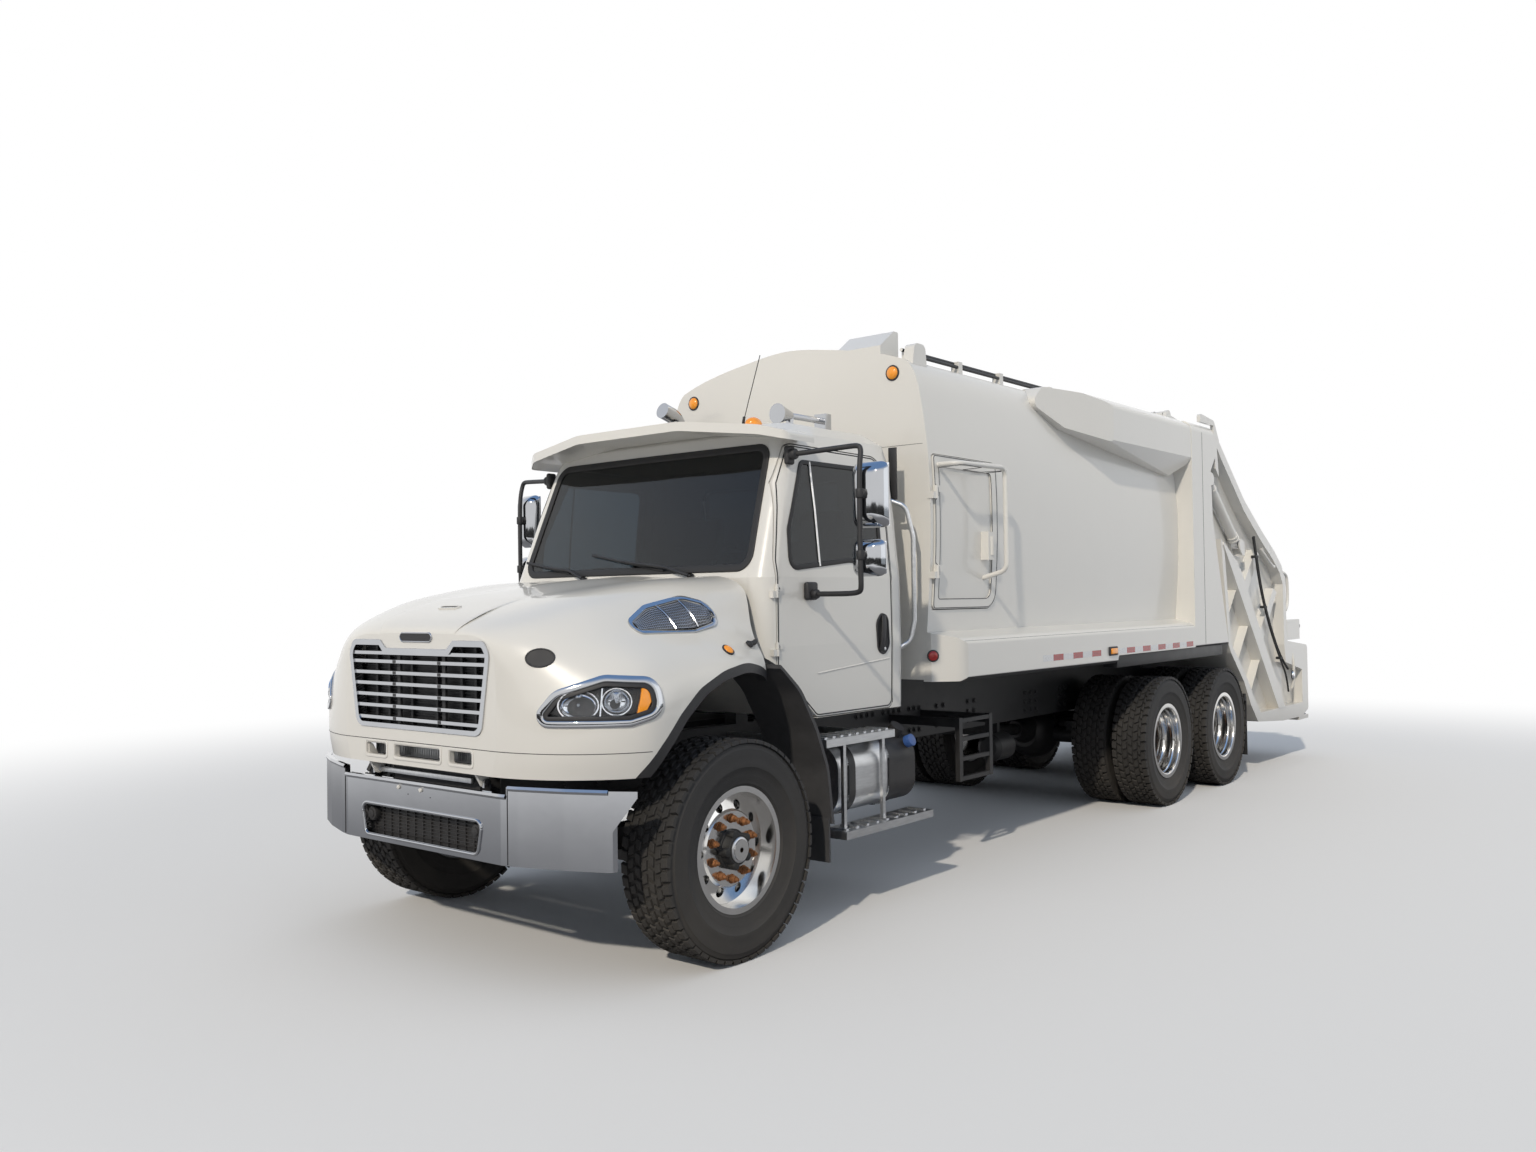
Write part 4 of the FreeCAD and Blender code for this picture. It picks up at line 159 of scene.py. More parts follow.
# %% Paints, metals, rubber and plastics
finish("white_enamel", (0.73, 0.715, 0.675), rough=0.3, spread=0.05, tone=0.015, scale=1.3, bump=0.012,
       bump_scale=220, dirt=0.35, dirt_top=1.3, dirt_colour=(0.42, 0.36, 0.28), coat=0.6)
finish("chassis_black", (0.018, 0.019, 0.021), rough=0.48, spread=0.1, tone=0.3, scale=9, bump=0.05, bump_scale=90,
       dirt=0.5, dirt_top=1.0, dirt_colour=(0.10, 0.085, 0.07))
finish("chrome_plate", (0.50, 0.51, 0.53), metallic=1.0, rough=0.08, spread=0.03, tone=0.04, scale=4, bump=0.05,
       bump_scale=5)
finish("bare_aluminium", (0.62, 0.63, 0.64), metallic=1.0, rough=0.34, spread=0.08, tone=0.1, scale=14, bump=0.04,
       bump_scale=160, stretch=(1, 6, 6), dirt=0.25, dirt_top=0.8)
finish("polished_aluminium", (0.74, 0.73, 0.71), metallic=1.0, rough=0.16, spread=0.05, tone=0.05, scale=12,
       bump=0.006, bump_scale=70)
finish("tyre_rubber", (0.020, 0.020, 0.021), rough=0.72, spread=0.12, tone=0.3, scale=12, bump=0.12, bump_scale=180,
       dirt=0.7, dirt_top=1.1, dirt_colour=(0.12, 0.105, 0.085))
finish("seal_rubber", (0.016, 0.016, 0.017), rough=0.6, spread=0.08, tone=0.2, scale=30, bump=0.05, bump_scale=300)
finish("moulded_black", (0.022, 0.022, 0.024), rough=0.55, spread=0.08, tone=0.2, scale=20, bump=0.08,
       bump_scale=420, dirt=0.3, dirt_top=1.2, dirt_colour=(0.12, 0.10, 0.08))
finish("dark_moulding", (0.055, 0.055, 0.058), rough=0.6, tone=0.12, scale=16, bump=0.08, bump_scale=380)
finish("cast_black", (0.03, 0.03, 0.03), metallic=0.3, rough=0.62, spread=0.1, tone=0.3, scale=18, bump=0.2,
       bump_scale=140)
finish("hard_chrome_rod", (0.72, 0.72, 0.73), metallic=1.0, rough=0.15, spread=0.04, scale=30, bump=0.01,
       bump_scale=300)
finish("rusty_steel", (0.30, 0.13, 0.05), metallic=0.4, rough=0.75, spread=0.12, tone=0.45, scale=60, bump=0.3,
       bump_scale=260)
finish("amber_plastic", (0.85, 0.30, 0.015), rough=0.18, spread=0.04, tone=0.06, scale=40, bump=0.15, bump_scale=90,
       coat=0.5, Emission_Color=(1.0, 0.35, 0.02, 1), Emission_Strength=0.12)
finish("red_plastic", (0.45, 0.012, 0.01), rough=0.2, spread=0.04, tone=0.06, scale=40, bump=0.12, bump_scale=90,
       coat=0.5)
finish("seat_weave", (0.045, 0.046, 0.05), rough=0.88, tone=0.3, scale=90, bump=0.3, bump_scale=700)
finish("lamp_bowl", (0.85, 0.86, 0.88), metallic=1.0, rough=0.06, spread=0.02, tone=0.02, scale=20, bump_scale=40)
finish("window_glass", (0.12, 0.155, 0.18), rough=0.02, spread=0.01, tone=0.02, scale=2, bump=0.0,
       Transmission_Weight=1.0, IOR=1.45)
finish("lamp_glass", (0.93, 0.95, 0.97), rough=0.02, spread=0.01, tone=0.01, scale=2, bump=0.0,
       Transmission_Weight=1.0, IOR=1.35)
print(len(finishes), "finishes")

# %% [markdown]
# ## Finishes on the CAD pieces
# Each CAD node keeps its mesh. Only its material slot is swapped for the finish that the real part has, by the same
# slot names that the record uses.

# %% Give each CAD node its finish
slot_finish = {
    "white_paint": "white_enamel", "black_paint": "chassis_black", "chrome": "chrome_plate",
    "bare_aluminium": "bare_aluminium", "polished_aluminium": "polished_aluminium", "tyre": "tyre_rubber",
    "rubber": "seal_rubber", "black_plastic": "moulded_black", "dark_trim": "dark_moulding",
    "lamp_lens": "lamp_glass", "amber_lens": "amber_plastic", "red_lens": "red_plastic",
    "tinted_glass": "window_glass", "seat_cloth": "seat_weave", "raw_steel": "hard_chrome_rod",
    "cast_metal": "cast_black",
}
slot_of = {s["node"]: s["material_slot"] for s in frame["record"]["subparts"]}
for node, piece in frame["nodes"].items():
    piece.data.materials.clear()
    piece.data.materials.append(finishes[slot_finish[slot_of[node]]])
print(len(frame["nodes"]), "nodes have their finish")

# %% [markdown]
# ## Ways of working
# Most pieces here start as a primitive at its real size and place, so a few helpers save repeating the same calls.
# Lengths are written in millimetres from the front axle, as on the truck's drawing, and turned into metres once.
# When a piece is done, its place goes into its mesh, so that its object sits unturned at the origin like a CAD node.

# %% Selecting and editing
def leave_edit():
    bpy.ops.object.mode_set(mode="OBJECT")


def fresh():
    """Leave edit mode and select nothing."""
    if bpy.context.object and bpy.context.object.mode != "OBJECT":
        leave_edit()
    bpy.ops.object.select_all(action="DESELECT")


def only(piece):
    fresh()
    bpy.context.view_layer.objects.active = piece
    piece.select_set(True)


def edit(mode="VERT", chosen="SELECT"):
    """Go to edit mode with everything or nothing selected."""
    bpy.ops.object.mode_set(mode="EDIT")
    bpy.ops.mesh.select_mode(type=mode)
    bpy.ops.mesh.select_all(action=chosen)


def pick(piece, test):
    """Select the faces whose centre and normal pass a test, and go to edit mode."""
    only(piece)
    edit("FACE", "DESELECT")
    leave_edit()
    for face in piece.data.polygons:
        face.select = bool(test(face.center, face.normal))
    bpy.ops.object.mode_set(mode="EDIT")


def fill(piece):
    """Close a loop of edges with one face."""
    edit("VERT")
    bpy.ops.mesh.edge_face_add()
    leave_edit()
    return piece


def bridge(lines):
    """A strip of faces between two lines of edges."""
    piece = join(lines)
    edit("EDGE")
    bpy.ops.mesh.bridge_edge_loops()
    leave_edit()
    return piece


def tidy(piece):
    """Merge doubles and point every face outwards."""
    only(piece)
    edit("VERT")
    bpy.ops.mesh.remove_doubles(threshold=0.00005)
    bpy.ops.mesh.normals_make_consistent(inside=False)
    leave_edit()
    return piece


print("editing helpers ready")

# %% [markdown]
# Modifiers are applied as soon as they are added, because a later step often picks faces of the shape that they made.
# The right half of a truck is nearly the left half mirrored, so the left side is modelled and copied. A mirrored mesh
# is inside out, and the copy has its faces turned round again.

# %% Changing, copying and finishing a piece
def settle():
    """Put the selected piece's place into its mesh."""
    bpy.ops.object.transform_apply(location=True, rotation=True, scale=True)
    return bpy.context.object


def modify(piece, kind, **values):
    """Add a modifier and apply it at once."""
    only(piece)
    made = piece.modifiers.new(kind.lower(), kind)
    for key, value in values.items():
        setattr(made, key, value)
    bpy.ops.object.modifier_apply(modifier=made.name)
    return piece


def thicken(piece, thickness, offset=0):
    return modify(piece, "SOLIDIFY", thickness=thickness, offset=offset)


def soften(piece, width, segments=2, degrees=30):
    """Bevel the edges that turn by more than an angle."""
    return modify(piece, "BEVEL", width=width, segments=segments, limit_method="ANGLE",
                  angle_limit=math.radians(degrees))


def keep(piece, name, body, look, smooth=35.0):
    """Name a finished piece, give it its finish and let it ride on a body of the truck."""
    only(piece)
    settle()
    piece.name = name
    piece.data.name = name
    piece.data.materials.clear()
    piece.data.materials.append(finishes[look])
    bpy.ops.object.shade_smooth_by_angle(angle=math.radians(smooth))
    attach(piece, body)
    return piece


def join(pieces):
    """Several meshes made into one."""
    fresh()
    for item in pieces:
        item.select_set(True)
    bpy.context.view_layer.objects.active = pieces[0]
    bpy.ops.object.join()
    return bpy.context.object


def about(centre, change):
    """The same change of place with another point as its middle."""
    return Matrix.Translation(centre) @ change @ Matrix.Translation(-centre)


def swing(piece, centre, axis, angle):
    """Turn a mesh about a line through a point."""
    piece.data.transform(about(centre, Matrix.Rotation(angle, 4, axis)))
    return piece


def twin(piece, shift=None, mirror=False):
    """A copy with its own mesh, moved, or mirrored to the other side of the truck."""
    other = piece.copy()
    other.data = piece.data.copy()
    other.parent = None
    bpy.context.scene.collection.objects.link(other)
    if shift is not None:
        other.data.transform(Matrix.Translation(shift))
    if mirror:
        other.data.transform(Matrix.Scale(-1, 4, (0, 1, 0)))
        other.data.flip_normals()
    return other


def look_of(piece):
    """The name of the finish that a piece has."""
    return next(name for name, made in finishes.items() if made == piece.data.materials[0])


def other_side(pieces, body, smooth=35.0):
    """Mirrored copies of the left side's pieces, riding on a body."""
    return [keep(twin(piece, mirror=True), piece.name.replace("left", "right"), body, look_of(piece), smooth)
            for piece in pieces]


print("piece helpers ready")

# %% [markdown]
# Three ways of starting cover nearly all of a truck's small parts: a box or rod with softened edges, an outline spun
# round an axle, and a pipe steered by a few points. An outline is drawn as by hand, by extruding a single vertex from
# point to point. A pipe is a curve that becomes a mesh as soon as it has its radius.

# %% Solids, turned pieces and pipes
def at(x, y, z):
    """Millimetres from the front axle, centreline and ground, as a point in metres."""
    return Vector((x / 1000 + FRONT_AXLE, y / 1000, z / 1000))


def solid(primitive, edge=0.0, bevels=2, **values):
    """A primitive at its real size and place, with its edges rounded by a width in metres."""
    fresh()
    primitive(**values)
    piece = settle()
    return soften(piece, edge, bevels) if edge else piece


def block(low, high, edge=3.0, segments=2):
    """A box between two corners in millimetres, with its edges rounded."""
    a, b = at(*low), at(*high)
    return solid(bpy.ops.mesh.primitive_cube_add, edge / 1000, segments, size=1, location=(a + b) / 2,
                 scale=[abs(v) for v in b - a])


def rod(a, b, radius, sides=24, edge=0.0, segments=2, radius_end=None):
    """A rod or cone between two points. All in metres."""
    turn = (b - a).to_track_quat("Z", "Y").to_euler()
    return solid(bpy.ops.mesh.primitive_cone_add, edge, segments, vertices=sides, radius1=radius,
                 radius2=radius if radius_end is None else radius_end, depth=(b - a).length,
                 location=(a + b) / 2, rotation=turn)


def round_bar(start, end, radius, sides=24, edge=0.0):
    """A rod between two points in millimetres."""
    return rod(at(*start), at(*end), radius / 1000, sides, edge / 1000)


def draw(points, closed=False):
    """A line of edges through points in metres, drawn as by hand: one vertex extruded from point to point."""
    piece = solid(bpy.ops.mesh.primitive_plane_add, size=0.01, location=points[0])
    edit("VERT")
    bpy.ops.mesh.merge(type="CENTER")
    for a, b in zip(points, points[1:]):
        bpy.ops.mesh.extrude_region_move(TRANSFORM_OT_translate={"value": b - a})
    bpy.ops.mesh.select_all(action="SELECT")
    if closed:
        bpy.ops.mesh.edge_face_add()
    leave_edit()
    return piece


def lathe(points, centre, axis, steps=48, angle=2 * math.pi):
    """An outline swept round an axis."""
    piece = draw(points)
    edit("VERT")
    bpy.ops.mesh.spin(steps=steps, angle=angle, center=centre, axis=axis)
    leave_edit()
    return tidy(piece)


def spin_copies(piece, count, centre):
    """Copies of a mesh in a ring round a wheel's axle."""
    angle = 2 * math.pi / count
    edit("VERT")
    bpy.ops.mesh.spin(steps=count - 1, angle=angle * (count - 1), dupli=True, center=centre, axis=(0, 1, 0))
    return piece


def hose(points, radius, order=3):
    """A pipe with smooth bends, steered by points in millimetres."""
    fresh()
    curve = bpy.data.curves.new("hose", "CURVE")
    curve.dimensions = "3D"
    spline = curve.splines.new("NURBS")
    spline.points.add(len(points) - 1)
    for target, point in zip(spline.points, points):
        target.co = (*at(*point), 1)
    spline.order_u = order
    spline.use_endpoint_u = True
    spline.resolution_u = 6
    curve.bevel_depth = radius / 1000
    curve.bevel_resolution = 5
    curve.use_fill_caps = True
    piece = bpy.data.objects.new("hose", curve)
    bpy.context.scene.collection.objects.link(piece)
    only(piece)
    bpy.ops.object.convert(target="MESH")
    return tidy(bpy.context.object)


def rounded(points, steps=6):
    """Corners of (u, v, radius) turned into a closed outline with arcs."""
    outline = []
    count = len(points)
    for k, corner in enumerate(points):
        here = Vector(corner[:2])
        radius = corner[2] if len(corner) > 2 else 0
        if not radius:
            outline.append(here)
            continue
        before = (Vector(points[k - 1][:2]) - here).normalized()
        after = (Vector(points[(k + 1) % count][:2]) - here).normalized()
        half = before.angle(after) / 2
        reach = radius / math.tan(half)
        middle = here + (before + after).normalized() * (radius / math.sin(half))
        first, last = here + before * reach - middle, here + after * reach - middle
        sweep = first.angle_signed(last)
        for s in range(steps + 1):
            outline.append(middle + Matrix.Rotation(-sweep * s / steps, 2) @ first)
    return outline


def steps(first, last, count):
    """Even steps from one value to another."""
    return [first + (last - first) * k / count for k in range(count + 1)]


print("shape helpers ready")

# %% [markdown]
# ## Tyres
# A truck tyre is a rubber ring with flexible sidewalls and thick tread blocks cut by grooves. The grooves are what
# the eye looks for, so they are real geometry and no bump. One narrow slice of the tyre is spun from its outline, the
# blocks of that slice are laid on it, and the whole slice is then copied round the wheel. The rear tyres have bigger
# blocks than the front ones, as drive tyres do, and their sidewalls carry only plain ribs.

# %% One slice of a tyre, copied round the wheel
def lug(axle, radius, height, angle, row):
    """One tread block. Its top is smaller than its foot. The row's slant, which makes it a parallelogram, is put on
    afterwards by tyre().
    """
    offset, wide, share, stagger, slant = row
    middle = axle + Vector((0, offset / 1000, (radius - height / 2 - 3) / 1000))
    long = radius * angle * share
    piece = solid(bpy.ops.mesh.primitive_cube_add, size=1, location=middle,
                  scale=(long / 1000, wide / 1000, (height + 4) / 1000))
    pick(piece, lambda centre, normal: normal.z > 0.9)
    bpy.ops.transform.resize(value=(0.84, 0.86, 1))
    bpy.ops.mesh.inset(thickness=0.002, depth=0.0015)
    return piece


def tyre(axle, radius, width, rim, pitches, rows, height):
    """A tyre round an axle point. Rows are (offset, width, share of the pitch, stagger, slant) across the tread."""
    w = width / 2
    base = radius - height
    side = [(w * 0.76, rim - 8), (w * 0.79, rim + 6), (w * 0.84, rim + 13), (w * 0.85, rim + 26), (w * 0.91, rim + 48),
            (w * 0.915, rim + 52), (w * 0.965, rim + 88), (w * 0.985, rim + 91), (w * 0.99, rim + 112),
            (w * 0.985, rim + 115), (w * 0.992, rim + 140), (w * 0.975, base - 34), (w * 0.955, base - 31),
            (w * 0.93, base - 12), (w * 0.86, base - 2), (w * 0.5, base + 2), (0, base + 3)]
    section = [axle + Vector((0, u / 1000, v / 1000)) for u, v in side + [(-u, v) for u, v in side[-2::-1]]]
    angle = 2 * math.pi / pitches
    parts = [lathe(section, axle, (0, 1, 0), steps=2, angle=angle)]
    for row in rows:
        offset, wide, share, stagger, slant = row
        piece = lug(axle, radius, height, angle, row)
        if abs(offset) + wide / 2 > w * 0.86:
            bpy.ops.transform.translate(value=(0, -0.006 * math.copysign(1, offset), 0))
        leave_edit()
        for v in piece.data.vertices:
            v.co.x += slant / 1000 * (v.co.y - axle.y - offset / 1000) / (wide / 1000)
        parts.append(swing(piece, axle, "Y", angle * stagger))
    piece = spin_copies(join(parts), pitches, axle)
    bpy.ops.mesh.select_all(action="SELECT")
    bpy.ops.mesh.remove_doubles(threshold=0.0001)
    leave_edit()
    return piece


steer_rows = [(-128, 40, 0.86, 0.0, 8), (-84, 36, 0.74, 0.5, -14), (-42, 34, 0.74, 0.0, 14), (0, 34, 0.74, 0.5, -14),
              (42, 34, 0.74, 0.0, 14), (84, 36, 0.74, 0.5, -14), (128, 40, 0.86, 0.0, -8)]
drive_rows = [(-118, 38, 0.84, 0.5, 8), (-75, 40, 0.80, 0.0, 16), (-31, 36, 0.78, 0.5, -16), (11, 36, 0.78, 0.0, 16),
              (53, 36, 0.78, 0.5, -16), (86, 20, 0.80, 0.0, 10), (118, 38, 0.84, 0.5, -8)]
RIM_FLANGE = 298
STEER_RADIUS = 520
front_axle = at(0, 1069, STEER_RADIUS)
front_tyre = keep(tyre(front_axle, STEER_RADIUS, 300, RIM_FLANGE, 54, steer_rows, 13), "tread_front_left",
                  "front_wheel_left", "tyre_rubber")
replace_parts(front_tyre, "front_tyre_left")
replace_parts(other_side([front_tyre], "front_wheel_right")[0], "front_tyre_right")
print("front tyres:", len(front_tyre.data.polygons), "faces each")

# %% [markdown]
# Two drive tyres share a hub, so a pair is one piece, with a gap of 62 mm between the sidewalls. One tyre is made,
# and the inner one and the other three pairs are copies of its mesh.

# %% Four pairs of drive tyres
TANDEM = ((1, -5.280), (2, -6.600))
DRIVE_RADIUS = 515
PAIR_SPACING = 0.342


def four_pairs(piece, name, look):
    """Put copies of a piece at the four rear wheels and take the first one away."""
    made = {}
    for number, station in TANDEM:
        for side in ("left", "right"):
            where = f"{number}_{side}"
            copy = twin(piece, shift=Vector((station, 0, 0)), mirror=side == "right")
            made[where] = keep(copy, f"{name}_rear_{where}", f"rear_wheels_{where}", look)
    bpy.data.objects.remove(piece)
    return made


outer = tyre(at(0, 1074, DRIVE_RADIUS), DRIVE_RADIUS, 280, RIM_FLANGE, 46, drive_rows, 17)
pair = join([outer, twin(outer, shift=Vector((0, -PAIR_SPACING, 0)))])
for where, copy in four_pairs(pair, "tread", "tyre_rubber").items():
    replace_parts(copy, "rear_tyres_" + where)
print("drive pairs:", len(copy.data.polygons), "faces each")

# %% [markdown]
# ## Wheel nuts and hubs
# The polished discs are held by ten nuts on a circle of 285.75 mm. They are plain steel and the first thing to rust.
# One nut is a six-sided cone with a washer and a stud, copied nine times round the hub. The steer hub is an
# oil-filled casting with a window in its cap, so it is turned from an outline and gets a ring of small bolts.

# %% Ten nuts round a hub
NUT_CIRCLE = 142.9


def nuts(axle, face_y):
    """Flanged nuts with stud ends standing on a disc whose face is at face_y millimetres."""
    top = Vector((axle.x, face_y / 1000, axle.z + NUT_CIRCLE / 1000))
    parts = []
    for start, reach, wide, narrow, sides in ((0, 4, 23, 23, 24), (4, 26, 19, 17.5, 6), (26, 42, 10, 9, 12)):
        parts.append(solid(bpy.ops.mesh.primitive_cone_add, 0.0015, 1, vertices=sides, radius1=wide / 1000,
                           radius2=narrow / 1000, depth=(reach - start) / 1000,
                           location=top + Vector((0, (start + reach) / 2000, 0)), rotation=(-math.pi / 2, 0, 0)))
    nut = spin_copies(join(parts), 10, axle)
    leave_edit()
    return nut


front_nuts = keep(nuts(front_axle, 1131.3), "nuts_front_left", "front_wheel_left", "rusty_steel")
other_side([front_nuts], "front_wheel_right")
four_pairs(nuts(at(0, 925, DRIVE_RADIUS), 925.3), "nuts", "rusty_steel")
print("sixty nuts set")

# %% Steer hubs with their caps
def turned(axle, outline, steps=48):
    """A casting turned round a wheel's axle from (y, radius) in millimetres."""
    return lathe([Vector((axle.x, y / 1000, axle.z + r / 1000)) for y, r in outline], axle, (0, 1, 0), steps=steps)


hub = turned(front_axle, [(1126, 93), (1140, 93), (1143, 90), (1143, 82), (1150, 78), (1178, 74), (1182, 70),
                          (1182, 62), (1184, 60)])
ears = []
for k in range(5):
    ear = solid(bpy.ops.mesh.primitive_cylinder_add, 0.004, vertices=20, radius=0.021, depth=0.05,
                location=(front_axle.x, 1.158, front_axle.z + 0.076), rotation=(math.pi / 2, 0, 0))
    ears.append(swing(ear, front_axle, "Y", math.radians(72 * k + 20)))
hub = keep(join([hub] + ears), "hub_front_left", "front_wheel_left", "cast_black")
cap = keep(turned(front_axle, [(1184, 60), (1188, 60), (1192, 56), (1194, 50), (1194, 38), (1190, 34), (1190, 30)]),
           "hub_cap_front_left", "front_wheel_left", "bare_aluminium")
oil = keep(turned(front_axle, [(1190, 30), (1191, 28), (1191, 17), (1196, 15), (1197, 12), (1197, 0.5)]),
           "oil_plug_front_left", "front_wheel_left", "rusty_steel")
other_side([hub, cap, oil], "front_wheel_right")
print("steer hubs capped")

# %% [markdown]
# A drive wheel is deep: its disc sits far inside the rim, so what shows is the rim's barrel with the steps that seat
# the tyre and, at the bottom of the well, the painted hub and the axle flange with its bolts.

# %% Barrel steps and axle flanges of the drive wheels
rear_axle = at(0, 0, DRIVE_RADIUS)
barrel = turned(rear_axle, [
    (1190, 272), (1188, 263), (1180, 260.5), (1146, 258), (1140, 253), (1132, 251), (1122, 252), (1112, 258),
    (1092, 259), (1062, 257), (1054, 251), (1046, 249), (1036, 251), (1028, 257), (1000, 259), (962, 259), (948, 252),
    (936, 244), (929, 232)], 64)
flange = turned(rear_axle, [(925, 118), (932, 118), (936, 112), (944, 106), (958, 104), (962, 100), (1002, 99),
                            (1008, 96), (1014, 94), (1016, 90)])
studs = [swing(round_bar((0, 1053, 569), (0, 1064, 569), 9, 6, 1.5), rear_axle, "Y", math.radians(45 * k))
         for k in range(8)]
flange = join([flange] + studs)
four_pairs(barrel, "barrel", "polished_aluminium")
four_pairs(flange, "flange", "cast_black")
print("drive wheels dressed")

# %% [markdown]
# ## Trim that follows a curved panel
# Seams, seals and lamp frames lie on panels that curve both ways, so nobody types in their heights. An outline is
# drawn flat in front of the panel, and each of its points is thrown along a straight line until it lands on the CAD
# surface. The landed points become a thin rubber bead or, with a second outline inside the first, a moulding.

# %% Landing points on the CAD surface
skins = {}


def touch(node, start, direction):
    """Where a straight line from a point in metres first meets a CAD node, and the surface's normal there."""
    if node not in skins:
        mesh = frame["nodes"][node].data
        skins[node] = BVHTree.FromPolygons([v.co for v in mesh.vertices], [p.vertices[:] for p in mesh.polygons])
    place, normal, face, distance = skins[node].ray_cast(start, Vector(direction))
    return place, normal


def land(nodes, start, direction, lift=0.0):
    """The first CAD surface that a line meets, and the point that stands off it by lift metres."""
    hits = [touch(node, start, direction) for node in nodes]
    hits = [h for h in hits if h[0] is not None]
    if not hits:
        return None
    place, normal = min(hits, key=lambda h: (h[0] - start).length)
    if normal.dot(Vector(direction)) > 0:
        normal = -normal
    return place + normal * lift


def from_front(*nodes, lift=0.0):
    """Throws (y, z) backwards on to nodes, all in millimetres but the lift."""
    return lambda p: land(nodes, at(1300, p[0], p[1]), (-1, 0, 0), lift)


def from_left(*nodes, lift=0.0):
    """Throws (x, z) from the left on to nodes."""
    return lambda p: land(nodes, at(p[0], 1500, p[1]), (0, -1, 0), lift)


print("landing ready")

# %% Outlines and mouldings
def loop(points):
    """A closed line of edges."""
    piece = draw(points)
    edit("VERT", "DESELECT")
    leave_edit()
    piece.data.vertices[0].select = True
    piece.data.vertices[-1].select = True
    bpy.ops.object.mode_set(mode="EDIT")
    bpy.ops.mesh.edge_face_add()
    leave_edit()
    return piece


def inward(points, distance):
    """A closed outline of 2-D points moved inwards."""
    area = sum(a.x * b.y - b.x * a.y for a, b in zip(points, points[1:] + points[:1]))
    side = 1 if area > 0 else -1
    moved = []
    for k, here in enumerate(points):
        along = points[(k + 1) % len(points)] - points[k - 1]
        moved.append(here + Vector((-along.y, along.x)).normalized() * distance * side)
    return moved


def divided(outline, gap):
    """A closed outline with a point every gap millimetres or so."""
    fine = []
    for a, b in zip(outline, outline[1:] + outline[:1]):
        count = max(1, round((b - a).length / gap))
        fine += [a.lerp(b, k / count) for k in range(count)]
    return fine


def ring(outline, width, throw, name, body, look, height=8.0, smooth=50):
    """A moulding between an outline and the same outline moved inwards. throw lands a 2-D point on the panel."""
    fine = divided(outline, 16)
    lines = []
    for points in (fine, inward(fine, width)):
        landed = [throw(p) for p in points]
        last = next(p for p in landed if p is not None)
        for k, point in enumerate(landed):
            last = landed[k] = point if point is not None else last
        lines.append(loop(landed))
    piece = tidy(thicken(tidy(bridge(lines)), height / 1000))
    return keep(soften(piece, min(width, height) / 2600, degrees=50), name, body, look, smooth)


def seam(points, name, body="hood", radius=1.7, look="seal_rubber"):
    """A thin bead through points that already lie on a panel."""
    piece = draw([p for p in points if p is not None])
    only(piece)
    bpy.ops.object.convert(target="CURVE")
    piece = bpy.context.object
    piece.data.bevel_depth = radius / 1000
    piece.data.bevel_resolution = 1
    bpy.ops.object.convert(target="MESH")
    return keep(bpy.context.object, name, body, look)


print("mouldings ready")

# %% [markdown]
# ## Headlamps
# A composite headlamp is a deep housing under a clear cover. What makes it read as real is the depth: a low-beam and
# a high-beam bowl, an amber corner lamp and a chrome frame round the opening. The CAD lens is a solid block, so the
# cover is taken from its outer skin and the housing from its other faces, and bowls turned from an outline go between.

# %% Cover and housing from the lens block
LAMP_TURN = math.radians(47)
lamp_out = Vector((math.cos(LAMP_TURN), math.sin(LAMP_TURN), 0))
lamp_side = Vector((-math.sin(LAMP_TURN), math.cos(LAMP_TURN), 0))


def lamp_start(u, z):
    """A place one metre in front of the left lamp: u along its face, z up, in millimetres."""
    return at(705, 965, z) + lamp_side * u / 1000 + lamp_out


def lamp_point(u, z, depth=0.0):
    """A place in the left lamp, depth millimetres behind the cover."""
    return touch("headlamps", lamp_start(u, z), -lamp_out)[0] - lamp_out * depth / 1000


housing = tidy(twin(frame["nodes"]["headlamps"]))
pick(housing, lambda centre, normal: centre.y < 0)
bpy.ops.mesh.delete(type="FACE")
leave_edit()
pick(housing, lambda centre, normal: normal.dot(lamp_out) > 0.3)
bpy.ops.mesh.separate(type="SELECTED")
leave_edit()
cover = [o for o in bpy.context.selected_objects if o != housing][0]
cover.data.transform(Matrix.Translation(-lamp_out * 0.004))
cover = keep(thicken(cover, 0.003, -1), "headlamp_cover_left", "hood", "lamp_glass")
housing = keep(thicken(tidy(housing), 0.004, 1), "headlamp_housing_left", "hood", "dark_moulding")
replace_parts(cover, "headlamps")
print("lamp cover", len(cover.data.polygons), "faces")


# %% Bowls, bulbs and the amber corner
def bowl(u, z, radius, deep, stretch):
    """A reflector turned from an outline and stretched sideways, and the middle of its floor."""
    middle = lamp_point(u, z, 14)
    rim = [(radius + 5, 4), (radius + 5, 0), (radius, 0)]
    curve = [(radius * math.cos(math.radians(a)), -deep * math.sin(math.radians(a))) for a in range(10, 81, 10)]
    bottom = [(14, -deep), (3, -deep)]
    outline = [middle + Vector((0, 0, r / 1000)) + lamp_out * d / 1000 for r, d in rim + curve + bottom]
    piece = lathe(outline, middle, lamp_out, steps=28)
    turn = Matrix.Rotation(LAMP_TURN, 4, "Z")
    piece.data.transform(about(middle, turn @ Matrix.Diagonal((1, stretch, 1, 1)) @ turn.inverted()))
    return piece, middle - lamp_out * deep / 1000


